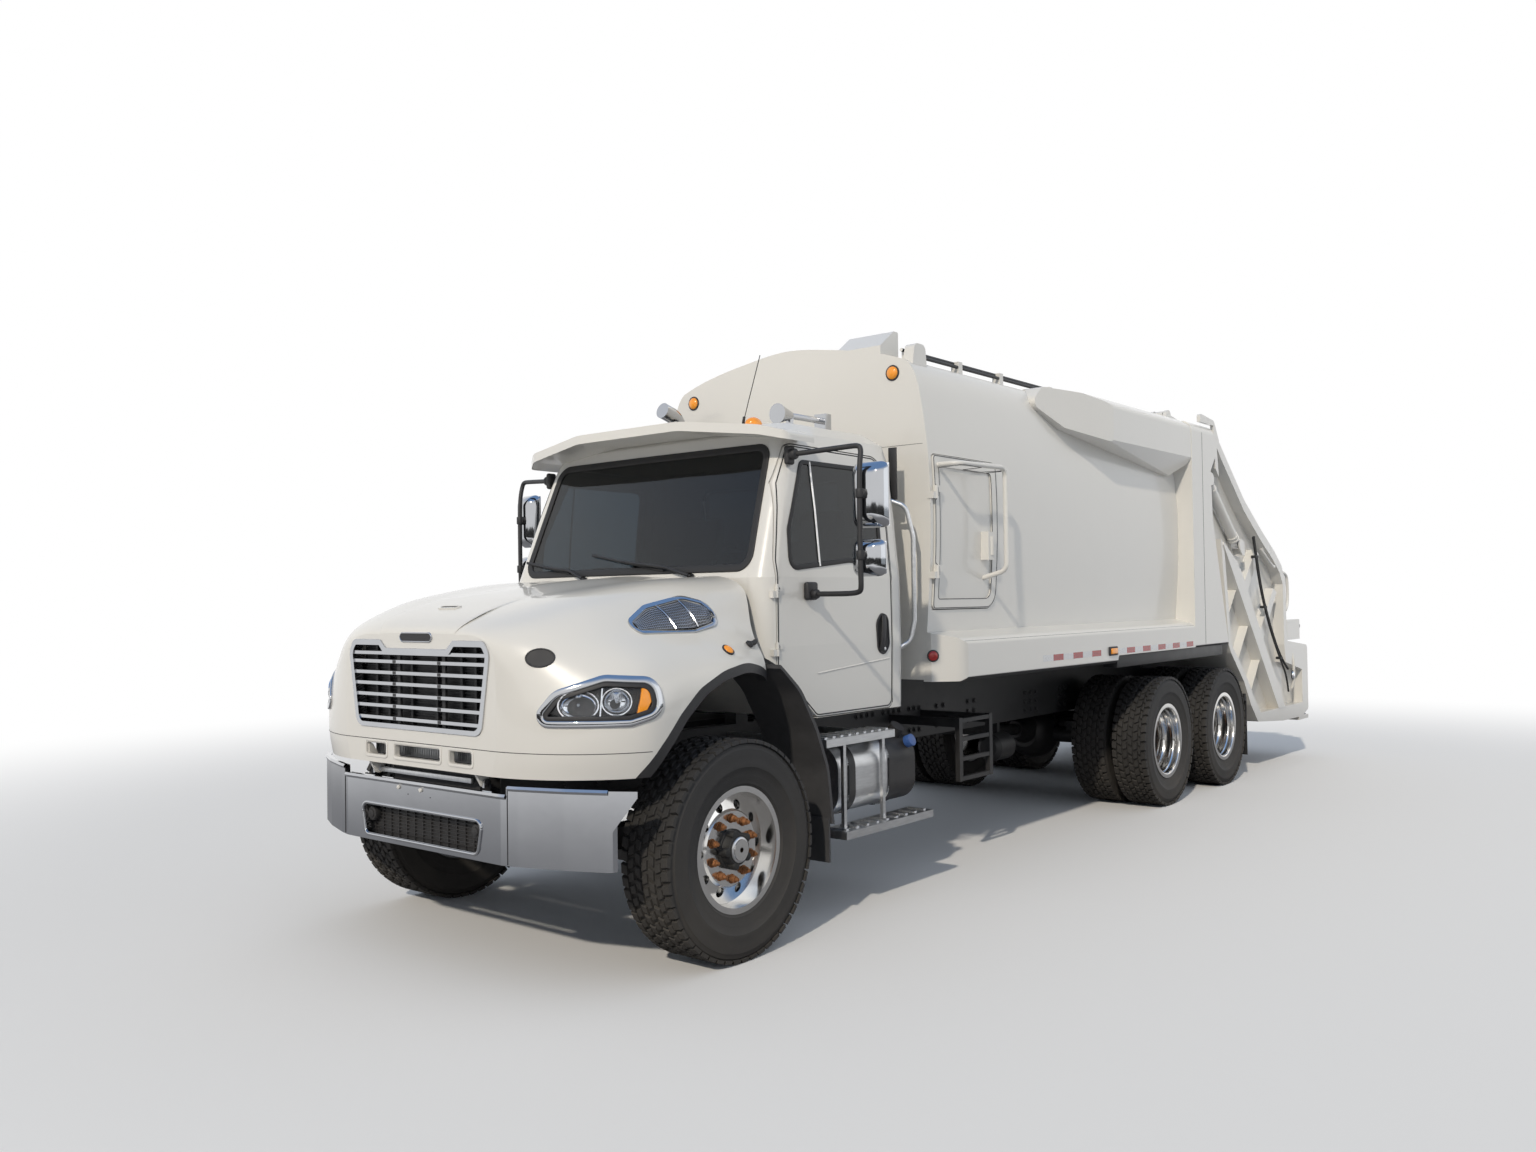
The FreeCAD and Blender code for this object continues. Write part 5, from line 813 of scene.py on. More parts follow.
low_beam, low_back = bowl(-70, 1248, 62, 48, 1.35)
high_beam, high_back = bowl(95, 1262, 56, 44, 1.1)
bowls = keep(join([low_beam, high_beam]), "headlamp_bowls_left", "hood", "lamp_bowl", 12)
bulbs = [rod(back + lamp_out * 0.001, back + lamp_out * 0.031, 0.011, 20, 0.004, 3, radius_end=0.007)
         for back in (low_back, high_back)]
bulbs = keep(join(bulbs), "headlamp_bulbs_left", "hood", "chrome_plate")
amber = ((180, 1206), (222, 1216), (248, 1262), (240, 1318), (205, 1335), (196, 1270))
corner = tidy(thicken(draw([lamp_point(u, z, 10) for u, z in amber], closed=True), 0.02))
corner = keep(soften(corner, 0.005, 3), "headlamp_amber_left", "hood", "amber_plastic")
fin_corners = ((22, 1185, 12), (36, 1345, 12), (36, 1345, 60), (22, 1185, 60))
fin = tidy(thicken(draw([lamp_point(*corner_at) for corner_at in fin_corners], closed=True), 0.006))
fin = keep(fin, "headlamp_fin_left", "hood", "lamp_bowl")
print("lamp filled")

# %% Chrome frame with its dark bezel, and the other lamp
def lamp_landing(lift):
    return lambda p: land(["hood_shell", "headlamps"], lamp_start(*p), -lamp_out, lift)


lamp_outline = rounded([(-306, 1154, 52), (158, 1154, 96), (306, 1196, 76), (278, 1362, 88), (40, 1378, 126),
                        (-178, 1312, 126)], 8)
chrome_frame = ring(lamp_outline, 30, lamp_landing(0.004), "headlamp_frame_left", "hood", "chrome_plate", 12)
bezel = ring(inward(lamp_outline, 29), 20, lamp_landing(0.001), "headlamp_bezel_left", "hood", "moulded_black")
other_side([cover, housing, bowls, bulbs, corner, fin, chrome_frame, bezel], "hood", 50)
print("headlamps done")

# %% [markdown]
# ## Grille, slots and badges' places
# Behind the chrome bars of a truck's grille sits a dark screen with upright posts; without it one looks straight on
# to bare castings. The nameplates are left as plain plaques with a thin rim, because their text isn't part of the
# shape. Seams between mouldings are drawn as thin dark beads that land on the hood, since a real gap of two
# millimetres would be lost in a solid's facets.

# %% Screen behind the bars
screen_parts = [block((884, -520, 1112), (892, 520, 1512), 2)]
for z in [1124 + k * 14.4 for k in range(26)]:
    screen_parts.append(block((892, -500, z), (899, 500, z + 4), 0))
for y in (-395, -290, -100, 100, 290, 395):
    screen_parts.append(block((892, y - 9, 1110), (912, y + 9, 1500), 2))
keep(join(screen_parts), "grille_screen", "hood", "moulded_black", 20)
clips = [block((955, y - 12, z - 7), (958, y + 12, z + 7), 1, 1)
         for y in (-180, 180) for z in (1147, 1206, 1260, 1314, 1367, 1421)]
keep(join(clips), "grille_clips", "hood", "dark_moulding", 20)


def paint(node, look, test):
    """Give the faces of a CAD node that pass a test another finish. Lengths are millimetres from the front axle."""
    mesh = frame["nodes"][node].data
    mesh.materials.append(finishes[look])
    slot = len(mesh.materials) - 1
    chosen = [f for f in mesh.polygons
              if test((f.center.x - FRONT_AXLE) * 1000, f.center.y * 1000, f.center.z * 1000, f.normal)]
    for face in chosen:
        face.material_index = slot
    print(node, look, len(chosen), "faces")


paint("grille", "moulded_black", lambda x, y, z, n: n.x < -0.5 or abs(abs(y) - 180) < 12.5 and x < 930.5)

# %% Slots under the grille: fins behind them and a raised rim round them
fins = [block((868, -460, 958), (874, 460, 1030), 1)]
fins.append(modify(block((874, -440, 962), (890, -437, 1026), 0), "ARRAY", count=62, use_relative_offset=False,
                   use_constant_offset=True, constant_offset_displace=(0, 0.0142, 0)))
keep(join(fins), "slot_fins", "truck", "bare_aluminium", 20)
for name, y0, y1 in (("centre", -196, 196), ("left", 239, 436), ("right", -436, -239)):
    shape = rounded([(y0, 949, 22), (y1, 949, 22), (y1, 1038, 22), (y0, 1038, 22)], 4)
    ring(shape, 13, from_front("hood_shell", "grille", lift=0.001), "slot_rim_" + name, "hood", "white_enamel", 5)
keep(block((872, -430, 868), (890, 325, 892), 4), "cooler_bar", "truck", "bare_aluminium")
print("slots done")

# %% Plaques without text, painted shade in the scoop on the hood's top and the seams of the fascia
def plaque(shape, throw, name, look="moulded_black", rim="chrome_plate", width=6):
    """A blank plate on the hood with a thin bright rim; the dark plate at the scoop is painted shade. throw(lift) gives
    the landing.
    """
    ring(shape, width, throw(0.003), name + "_rim", "hood", rim, 7)
    face = fill(loop([throw(0.0)(p) for p in inward(shape, width)]))
    return keep(tidy(thicken(face, 0.008)), name, "hood", look)


badge = rounded([(-118, 1517, 22), (118, 1517, 22), (133, 1540, 12), (118, 1563, 22), (-118, 1563, 22),
                 (-133, 1540, 12)], 3)
plaque(badge, lambda lift: from_front("hood_shell", lift=lift), "front_plaque")
corner_out = Vector((0.80, 0.53, 0.30)).normalized()
corner_side = Vector((0, 0, 1)).cross(corner_out).normalized()
corner_up = corner_out.cross(corner_side)
oval = [Vector((math.cos(a) * 68, math.sin(a) * 45)) for a in [math.radians(k * 15) for k in range(24)]]


def corner_landing(lift):
    start = at(866, 793, 1454) + corner_out * 0.3
    return lambda p: land(["hood_shell"], start + corner_side * p.x / 1000 + corner_up * p.y / 1000, -corner_out, lift)


plaque(oval, corner_landing, "corner_plaque", "seal_rubber", "moulded_black", 7)
# The scoop's dark plate is painted shade, framed by a white rim.
scoop = rounded([(742, -78, 12), (782, -70, 8), (782, 70, 8), (742, 78, 12)], 3)
plaque(scoop, lambda lift: lambda p: land(["hood_shell"], at(p.x, p.y, 2200), (0, 0, -1), lift), "scoop_painted_shade",
       "seal_rubber", "white_enamel", 9)
FASCIA_Z = 1040
lower = [from_front("hood_shell")((y, FASCIA_Z)) for y in steps(0, 1120, 70)]
lower += [from_left("hood_shell")((x, FASCIA_Z)) for x in steps(700, 566, 12)]
other_side([seam(lower, "fascia_seam_left")], "hood")
print("plaques and seams done")

# %% [markdown]
# ## Side intakes
# The hole in the hood has no surface to land on, so its mesh is laid on straight lines that join the hole's lower and
# upper edge, swollen a little in their middle.

# %% Side intakes: a chrome rim over fine mesh with two posts
INTAKE_SWELL = 0.012
intake = rounded([(500, 1560, 20), (120, 1560, 160), (-70, 1590, 60), (-80, 1665, 60), (60, 1700, 120),
                  (300, 1655, 160)], 8)
rim = ring(inward(intake, -17), 15, from_left("hood_shell", lift=0.004), "intake_rim_left", "hood", "chrome_plate", 12)


def intake_span(x):
    """The lowest and highest z of the intake at a station."""
    cuts = []
    for a, b in zip(intake, intake[1:] + intake[:1]):
        if min(a.x, b.x) <= x < max(a.x, b.x):
            cuts.append(a.y + (b.y - a.y) * (x - a.x) / (b.x - a.x))
    return min(cuts), max(cuts)


def intake_point(x, share, lift=0.0):
    """A place on the surface that the hole took away. The edge is looked for a little beside the hole."""
    ends = []
    for edge, way in zip(intake_span(x), (-1, 1)):
        tries = [from_left("hood_shell")((x, edge + way * margin)) for margin in (4, 10, 18, 28, 40)]
        ends.append(next(p for p in tries if p is not None))
    foot, head = ends
    along = head - foot
    outward = Vector((0, along.z, -along.y)).normalized()
    return foot + along * share + outward * (lift + INTAKE_SWELL * math.sin(math.pi * share))


def intake_wire(points, radius):
    return seam(points, "wire", "hood", radius, "chrome_plate")


stations = steps(-66, 420, 40)
backing = bridge([draw([intake_point(x, share, -0.010) for x in stations]) for share in (0.0, 1.0)])
backing = keep(tidy(thicken(backing, 0.002)), "intake_backing_left", "hood", "seal_rubber")
wires = [intake_wire([intake_point(x, k / 11, -0.002) for x in stations], 2.0) for k in range(1, 11)]
wires += [intake_wire([intake_point(x, k / 6, -0.003) for k in range(7)], 1.3) for x in steps(-60, 420, 44)]
mesh = keep(join(wires), "intake_mesh_left", "hood", "chrome_plate")
posts = [intake_wire([intake_point(x + 14 * k / 6, k / 6, 0.001) for k in range(7)], 5.0) for x in (70, 215)]
posts = keep(join(posts), "intake_posts_left", "hood", "chrome_plate")
other_side([rim, backing, mesh, posts], "hood")
print("intakes done")

# %% [markdown]
# ## Markers and latches
# Small domed lenses stand on the fenders and show the truck's width at night. A lens is a flattened sphere, half sunk
# in a dark foot and turned to the panel's normal, and the same helper makes the lamps of the body and the tailgate
# later on. The hood is held down by rubber straps. Each is a short bent pipe with a knob.

# %% Fender markers and the rubber latches at the hood's rear corners
def button(place, normal, radius, high, name, body, look):
    """A domed lens standing on a panel, with a dark foot ring."""
    turn = normal.to_track_quat("Z", "Y").to_euler()
    foot = solid(bpy.ops.mesh.primitive_cylinder_add, 0.002, vertices=28, radius=radius / 1000 * 1.22, depth=0.008,
                 location=place + normal * 0.002, rotation=turn)
    dome = solid(bpy.ops.mesh.primitive_uv_sphere_add, segments=28, ring_count=14, radius=1,
                 location=place + normal * 0.003, rotation=turn, scale=(radius / 1000, radius / 1000, high / 1000))
    return [keep(foot, name + "_foot", body, "moulded_black"), keep(dome, name, body, look)]


marker = button(at(8, 1134, 1459), Vector((-0.03, 0.67, 0.74)), 27, 14, "fender_marker_left", "hood", "amber_plastic")
strap = hose([(-205, 1072, 1480), (-232, 1074, 1480), (-262, 1068, 1482), (-290, 1052, 1488)], 13)
knob = button(at(-218, 1076, 1478), Vector((-0.1, 0.7, 0.7)), 17, 12, "hood_latch_knob_left", "hood", "seal_rubber")
other_side(marker + knob + [keep(strap, "hood_latch_left", "hood", "seal_rubber")], "hood")
print("hood done")

# %% [markdown]
# ## Bumper
# Pressed steel comes out of the mould with a rolled upper edge, and the swept wings are bolted on to the centre
# section. The roll mirrors the sky, which gives the bright line that runs along it. The opening has its own chrome
# lip with a black screen behind it.

# %% Rolled edge, wing seams, bolts and the opening's lip
opening = inward(rounded([(-471, 713, 30), (471, 713, 30), (441, 573, 30), (-441, 573, 30)], 6), -15)
ring(opening, 14, from_front("front_bumper", lift=0.002), "bumper_lip", "truck", "chrome_plate", 12)
rolls = []
for name, z, first, last in (("mid", 838, 0, 636), ("wing", 876, 648, 1108)):
    roll = [from_front("front_bumper", lift=-0.004)((y, z)) + Vector((0, 0, 0.004)) for y in steps(first, last, 30)]
    rolls.append(seam(roll, f"bumper_roll_{name}_left", "truck", 13, "chrome_plate"))
joint = [from_front("front_bumper", lift=0.0005)((646, z)) for z in steps(544, 876, 20)]
other_side(rolls + [seam(joint, "bumper_joint_left", "truck", 2.2)], "truck")
screen = [block((884, -500, 560), (888, 500, 728), 1)]
screen += [block((888, y, 566), (896, y + 4, 724), 0) for y in [-440 + k * 66 for k in range(14)]]
screen += [block((888, -460, z), (895, 460, z + 5), 0) for z in [578 + k * 17 for k in range(9)]]
keep(join(screen), "bumper_screen", "truck", "moulded_black", 20)
plugs = []
for y in (-428, 405):
    plugs += [round_bar((880, y, 662), (925, y, 662), 34, 28, 5), round_bar((920, y, 662), (930, y, 662), 20, 20, 3)]
keep(join(plugs), "bumper_plugs", "truck", "moulded_black")
bolts = [round_bar((944, y, 818), (953, y, 818), 11, 6, 2) for y in (-163, 16)]
keep(join(bolts), "bumper_bolts", "truck", "white_enamel")
print("bumper done")

# %% [markdown]
# ## Two finishes on one casting
# A cab is one pressed shell on the CAD side, but its lining is dark and its skin is white. The mesh stays as it is:
# only the faces that pass a test are given a second material slot. The same is done for the black straps of the tank,
# the hubs of the drive wheels and the lines on the roof.

# %% Second material slots
def lining(x, y, z, normal):
    to_middle = Vector((-1060 - x, -y, 1800 - z))
    return to_middle.dot(normal) > 0 and abs(y) < 1000 and -1700 < x < -420 and z > 1090


def strap_face(x, y, z, n):
    """The two straps stand proud of the tank's sides, top and bottom."""
    proud = not (619 <= y <= 1076 and 519 <= z <= 901) or abs(n.y) > 0.2 or abs(n.z) > 0.2
    return min(abs(x + 1060), abs(x + 1450)) < 31 and proud


for node in ("cab_shell", "door_left", "door_right"):
    paint(node, "dark_moulding", lining)
HUB_BACK, HUB_RADIUS = 926, 121
for number, station in TANDEM:
    for side in ("left", "right"):
        paint(f"rear_rims_{number}_{side}", "cast_black",
              lambda x, y, z, n: abs(y) > HUB_BACK and math.hypot(x - station * 1000, z - DRIVE_RADIUS) < HUB_RADIUS)
paint("fuel_tank", "moulded_black", strap_face)
ROOF_LINES, LINE_RADIUS = ((888, 3200), (858, 3226)), 12
paint("roof_pipes", "chassis_black",
      lambda x, y, z, n: abs(n.x) < 0.2 and min(math.hypot(y - a, z - b) for a, b in ROOF_LINES) < LINE_RADIUS)

# %% [markdown]
# ## Windows and doors
# Glass in a cab sits in a black rubber gasket, and that dark line is what draws the window from a distance. Doors are
# read by their gap, their handle and the weather strip round them.

# %% Gaskets, divider bars and door gaps
def follow(outline, throw):
    """A closed line of points along an outline, each thrown on to the panel."""
    points = [throw(p) for p in divided(outline, 25)]
    points = [p for p in points if p is not None]
    return points + points[:1]


def on_door(lift=0.0):
    return from_left("door_left", "door_glass_left", lift=lift)


screen_line = rounded([(-908, 1842, 92), (908, 1842, 92), (846, 2536, 92), (-846, 2536, 92)], 7)
ring(screen_line, 40, from_front("cab_shell", "cab_glass", lift=0.002), "windshield_gasket", "truck", "seal_rubber", 10)
rear_line = rounded([(-568, 1952, 66), (568, 1952, 66), (568, 2428, 66), (-568, 2428, 66)], 5)
ring(rear_line, 26, lambda p: land(["cab_shell", "cab_glass"], at(-2600, p.x, p.y), (1, 0, 0), 0.002), "rear_gasket",
     "truck", "seal_rubber")
window_line = rounded([(-620, 1842, 66), (-1160, 1894, 66), (-1494, 1894, 66), (-1504, 2448, 76), (-806, 2448, 56),
                       (-632, 2066, 86)], 5)
gasket = ring(window_line, 26, on_door(0.002), "window_gasket_left", "door_left", "seal_rubber")
bar = seam([on_door(0.004)((-888, z)) for z in steps(1872, 2440, 24)], "window_bar_left", "door_left", 6,
           "bare_aluminium")
gap_line = rounded([(-507, 1350), (-842, 1070, 60), (-1564, 1070, 50), (-1576, 2515, 88), (-722, 2523, 60),
                    (-622, 2313), (-517, 1900, 190)], 6)
gap = seam(follow(inward(gap_line, 7), on_door()), "door_gap_left", "door_left", 3.6)
crease = [from_left("door_left", lift=-0.001)((x, 1296 - (x + 830) * 0.075)) for x in steps(-850, -1572, 20)]
crease = seam(crease, "door_crease_left", "door_left", 5, "white_enamel")
print("gaskets done")

# %% [markdown]
# A recess could be cut into the door, but that mesh belongs to the CAD and is left alone. A dark plate with a raised
# rim reads as a cup from outside, and the paddle in front of it throws a real shadow. When the left door has all its
# trim, the pieces are mirrored on to the right one.

# %% Door handle in its cup
cup_line = rounded([(-1412, 1386, 56), (-1400, 1560, 60), (-1452, 1612, 40), (-1524, 1600, 50), (-1534, 1420, 60),
                    (-1486, 1370, 40)], 6)
cup_rim = ring(cup_line, 12, on_door(0.002), "handle_rim_left", "door_left", "moulded_black", 9)
cup = thicken(fill(loop([on_door(0.001)(p) for p in inward(cup_line, 11)])), 0.003)
cup = keep(tidy(cup), "handle_cup_left", "door_left", "seal_rubber")
paddle = hose([(-1448, 1024, 1400), (-1446, 1040, 1440), (-1450, 1046, 1500), (-1458, 1040, 1556), (-1466, 1024, 1592)],
              13)
paddle.data.transform(about(at(-1452, 1030, 1500), Matrix.Diagonal((1.5, 0.7, 1, 1))))
paddle = keep(paddle, "handle_left", "door_left", "moulded_black")
lock = keep(round_bar((-1484, 1016, 1404), (-1484, 1026, 1404), 11, 20, 2), "lock_left", "door_left", "chrome_plate")
other_side([gasket, bar, gap, crease, cup_rim, cup, paddle, lock], "door_right")
print("doors done")

# %% [markdown]
# ## Wipers
# A wiper's arm is bent over the cowl, and its blade follows the curve of the glass. So the blade is a line of points
# that land on the windshield, and the arm runs through a pivot, an elbow and the blade's middle.

# %% Wipers, parked low on the glass
def wiper(pivot, elbow, blade, name):
    """An arm from its pivot to a blade that lies on the glass between two (y, z) points."""
    low, high = Vector(blade[0]), Vector(blade[1])
    line = [from_front("cab_glass", "cab_shell", lift=0.010)(low.lerp(high, k / 16)) for k in range(17)]
    middle = (line[0] + line[-1]) / 2 + Vector((0.022, 0, 0.004))
    start = from_front("cab_shell", "cab_glass", lift=0.012)(pivot)
    bend = from_front("cab_glass", "cab_shell", lift=0.030)(elbow)
    arm = [start, start.lerp(bend, 0.5) + Vector((0.008, 0, 0)), bend, bend.lerp(middle, 0.6), middle]
    boss = [start - Vector((0.02, 0, 0.006)), start + Vector((0.014, 0, 0.003))]
    clip = [middle.lerp(line[8], -0.2), line[8]]
    parts = [seam(points, "wiper_part", "truck", radius)
             for points, radius in ((line, 8.5), (arm, 9), (boss, 17), (clip, 9))]
    keep(join(parts), name, "truck", "moulded_black")


wiper((511, 1822), (330, 1868), ((300, 1858), (-310, 1962)), "wiper_left")
wiper((-330, 1822), (-460, 1872), ((-470, 1862), (-905, 1936)), "wiper_right")
print("wipers done")

# %% [markdown]
# ## Mirrors
# Truck mirrors hang on one bent tube that is bolted to the door, so they swing with it. The heads are boxes whose
# front face is scaled down and whose edges get a wide bevel, because a plated shell mirrors the sky in broad soft
# bands. The glass is a thin bright plate in the rear face.

# %% Mirrors: one bent tube and two plated heads with their glass
tube = hose([(-700, 960, 2462), (-745, 1120, 2474), (-792, 1300, 2486), (-800, 1352, 2488), (-792, 1358, 2440),
             (-776, 1358, 2380), (-774, 1358, 2200), (-774, 1358, 1960), (-776, 1358, 1800), (-782, 1356, 1746),
             (-790, 1340, 1722), (-786, 1250, 1720), (-776, 1060, 1722)], 14, order=4)
mounts = [round_bar((-774, 1358, z), (-812, 1356, z), 27, 24, 5) for z in (2236, 1918)]
mounts += [round_bar((-774, 1358, z - 24), (-774, 1358, z + 24), 21, 20, 4) for z in (2236, 1918)]
mounts.append(block((-735, 942, 2410), (-670, 975, 2510), 14, 4))
mounts.append(round_bar((-702, 965, 2462), (-704, 1006, 2466), 30, 28, 10))
mounts.append(block((-822, 1016, 1690), (-730, 1052, 1786), 14, 4))
mounts.append(round_bar((-776, 1048, 1722), (-777, 1082, 1722), 26, 24, 8))
arm = keep(join([tube] + mounts), "mirror_arm_left", "door_left", "moulded_black")


def mirror_head(low, high, name):
    """A plated shell with a full back that narrows forwards, and flat glass in its rear face."""
    hinge = (at(-860, 1345, 0), "Z", math.radians(8))
    shell = block(low, high, 0)
    pick(shell, lambda centre, normal: normal.x > 0.9)
    bpy.ops.transform.resize(value=(1, 0.62, 0.74))
    leave_edit()
    shell = keep(swing(soften(shell, 0.042, 6, 25), *hinge), name + "_left", "door_left", "chrome_plate", 60)
    glass = block((low[0] - 1.5, low[1] + 22, low[2] + 22), (low[0] + 3, high[1] - 22, high[2] - 22), 1.5)
    return [shell, keep(swing(glass, *hinge), name + "_glass_left", "door_left", "lamp_bowl")]


heads = mirror_head((-886, 1250, 2046), (-796, 1484, 2420), "mirror_head")
heads += mirror_head((-882, 1250, 1798), (-790, 1466, 2012), "mirror_dome")
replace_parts(arm, "mirror_left")
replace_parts(other_side([arm] + heads, "door_right", 60)[0], "mirror_right")
print("mirrors done")

# %% [markdown]
# ## Small parts of the cab
# An antenna that leans back, a black vent in the rear corner and the amber lenses on the roof break up the plain white
# of the cab. The lenses are flattened spheres sunk into their CAD feet, since only the upper half shows.

# %% Whip antenna, vent, grab handles and the lenses of the roof lamps
foot = land(["cab_shell"], at(-800, 549, 3300), (0, 0, -1))
whip = seam([foot, foot + Vector((-0.02, 0.03, 0.14)), foot + Vector((-0.05, 0.095, 0.40))], "whip", "truck", 2.6)
base = seam([foot - Vector((0, 0, 0.01)), foot + Vector((-0.008, 0.010, 0.06))], "base", "truck", 9)
keep(join([whip, base]), "antenna", "truck", "moulded_black")
keep(block((-1734, 905, 2281), (-1723, 962, 2594), 3), "cab_vent", "truck", "moulded_black")
paint("grab_handles", "bare_aluminium", lambda x, y, z, n: True)
lamps = []
for y in (600, 210, 0, -210, -600):
    top = land(["cab_shell", "roof_lamps"], at(-838, y, 3300), (0, 0, -1))
    lamps.append(solid(bpy.ops.mesh.primitive_uv_sphere_add, segments=24, ring_count=12, radius=1,
                       location=top + Vector((0, 0, 0.004)), scale=(0.054, 0.046, 0.043)))
keep(join(lamps), "roof_lamp_domes", "truck", "amber_plastic")
print("cab done")

# %% [markdown]
# ## Load body
# The body is one big curved sheet, so almost nothing breaks it up: a hatch with its gasket, two round lamps on the
# front wall, side lamps and the red and white reflective tape that every long truck carries along its side.

# %% Lamps on the front wall and the sides
def wide_block(sign, x_from, x_to, y_from, y_to, z_from, z_to, edge=0, segments=2):
    """A box on the left side, or on the right one for a negative sign."""
    low, high = sorted((sign * y_from, sign * y_to))
    return block((x_from, low, z_from), (x_to, high, z_to), edge, segments)


for side, sign in (("left", 1), ("right", -1)):
    button(at(-1897, sign * 832, 3077), Vector((1, 0, 0)), 40, 22, "wall_lamp_" + side, "truck", "amber_plastic")
    button(at(-1906, sign * 1082, 1345), Vector((0.69, 0.72 * sign, 0)), 30, 12, "red_marker_" + side, "truck",
           "red_plastic")
    keep(wide_block(sign, -4250, -4106, 1218, 1232, 1250, 1316, 10, 3), "side_lamp_foot_" + side, "truck",
         "moulded_black")
    keep(wide_block(sign, -4232, -4124, 1228, 1240, 1262, 1304, 8, 3), "side_lamp_" + side, "truck", "amber_plastic")
print("body lamps done")

# %% [markdown]
# Tape for trucks comes in red and silver lengths of six inches. A picture of stripes would do from afar, but then a
# close view shows no edge, so each length is a thin plate along the skirt's lower edge. The lengths where the side
# lamp sits are left out. The tape's grain is fine and strong, as it is made of tiny cells.

# %% Reflective tape
STRIP = 152.4
STRIP_CUT = 151
SIDE_LAMP_X = -4178
LAMP_ROOM = 160
finish("tape_red", (0.34, 0.008, 0.012), rough=0.25, spread=0.05, tone=0.12, scale=160, bump=0.12, bump_scale=420,
       coat=0.4)
finish("tape_silver", (0.68, 0.69, 0.70), rough=0.28, tone=0.08, scale=160, bump=0.12, bump_scale=420, coat=0.4)
for look, first in (("tape_red", -3217.0), ("tape_silver", -3065.0)):
    strips = []
    for x in [first - 2 * STRIP * k for k in range(9)]:
        if abs(x - STRIP / 2 - SIDE_LAMP_X) >= LAMP_ROOM:
            strips.append(block((x - STRIP_CUT, 1218.6, 1257), (x, 1219.9, 1299), 0))
    strips += [twin(s, mirror=True) for s in strips]
    keep(join(strips), look + "_strips", "truck", look)
print("tape done")

# %% [markdown]
# The sheets of the body are welded or folded along lines, and the hatch closes on a gasket. A thin dark bead that
# follows the CAD surface draws such a line without cutting the mesh.

# %% Hatch gasket and the seams of the body
hatch_landing = from_left("access_door", "body_shell")
x0, x1, z0, z1 = -2700.0, -1935.0, 1625.0, 2560.0
hatch_line = rounded([(x0, z0, 110), (x1, z0, 30), (x1, z1, 30), (x0, z1, 40)], 7)
seam(follow(inward(hatch_line, 6), hatch_landing), "hatch_gap", "access_door", 2.6, "dark_moulding")
panel_line = rounded([(x0 + 70, z0 + 60, 60), (x1 - 55, z0 + 60, 20), (x1 - 55, z1 - 70, 20),
                      (x0 + 70, z1 - 70, 30)], 7)
seam(follow(panel_line, hatch_landing), "hatch_panel_line", "access_door", 2.2, "dark_moulding")
wall = [land(["body_shell"], at(0, y, 2626), (-1, 0, 0)) for y in steps(-1040, 1040, 30)]
seam(wall, "wall_seam", "truck", 1.4, "dark_moulding")
for sign, side in ((1, "left"), (-1, "right")):
    line = [land(["rear_frame"], at(-6106, sign * 1600, z), (0, -sign, 0)) for z in steps(1262, 3130, 40)]
    seam(line, "post_seam_" + side, "truck", 1.8, "dark_moulding")
    line = [land(["body_skirts"], at(x, sign * 1600, 1430), (0, -sign, 0)) for x in steps(-2060, -5850, 60)]
    seam(line, "skirt_seam_" + side, "truck", 1.2, "dark_moulding")
print("hatch and seams done")

# %% [markdown]
# ## Chassis side
# Long rows of bolt heads hold a truck's brackets to its rails. One head is modelled, then copied along the rail in
# uneven rows, as on the real frame, where the holes serve several options. Under the body's rear half runs a black
# side rail that carries the skirt, and the underside of the body is black as well.

# %% Rail bolts, skirt rails and tank cap
head = join([round_bar((0, 0, 0), (0, 14, 0), 15, 6, 2), round_bar((0, 0, 0), (0, 4, 0), 21, 20, 1)])
spots = [(-1960 - 62 * k, z) for k in range(14) for z in (795, 940) if (k * 7 + z) % 5 != 0]
spots += [(x, z) for x in (-2990, -3080, -3420, -3510, -4300, -4390, -4480, -4900, -5000) for z in (800, 865, 935)]
spots += [(x, z) for x in (-520, -610, 120, 210, 420) for z in (800, 930)]
heads = [twin(head, shift=Vector((x / 1000, 0.432, z / 1000))) for x, z in spots]
bpy.data.objects.remove(head)
heads += [twin(h, mirror=True) for h in heads]
keep(join(heads), "rail_bolts", "truck", "chassis_black", 30)
for sign, side in ((1, "left"), (-1, "right")):
    keep(wide_block(sign, -6560, -4296, 1090, 1202, 1152, 1245, 6), "skirt_rail_" + side, "truck", "chassis_black")
for node in ("body_shell", "body_skirts", "rear_frame"):
    paint(node, "chassis_black",
          lambda x, y, z, n: z < 1262 and n.x < 0.3 and n.z < 0.5 and (n.z < -0.35 or abs(y) < 1080))
paint("fuel_tank", "moulded_black", lambda x, y, z, n: x < -1478)
finish("cap_blue", (0.04, 0.10, 0.30), rough=0.4, tone=0.1, scale=30, bump=0.06, bump_scale=300)
keep(round_bar((-1632, 1062, 858), (-1632, 1104, 874), 36, 28, 5), "tank_cap", "truck", "cap_blue")
print("chassis side done")

# %% [markdown]
# ## Tailgate fittings
# The tailgate carries what the crew uses: grab bars, a riding step, lamps in guarded boxes and the hydraulic hoses
# to the packer. The hoses are clipped to the flank along their whole length, so they are modelled as rigid lines
# that ride on the tailgate.

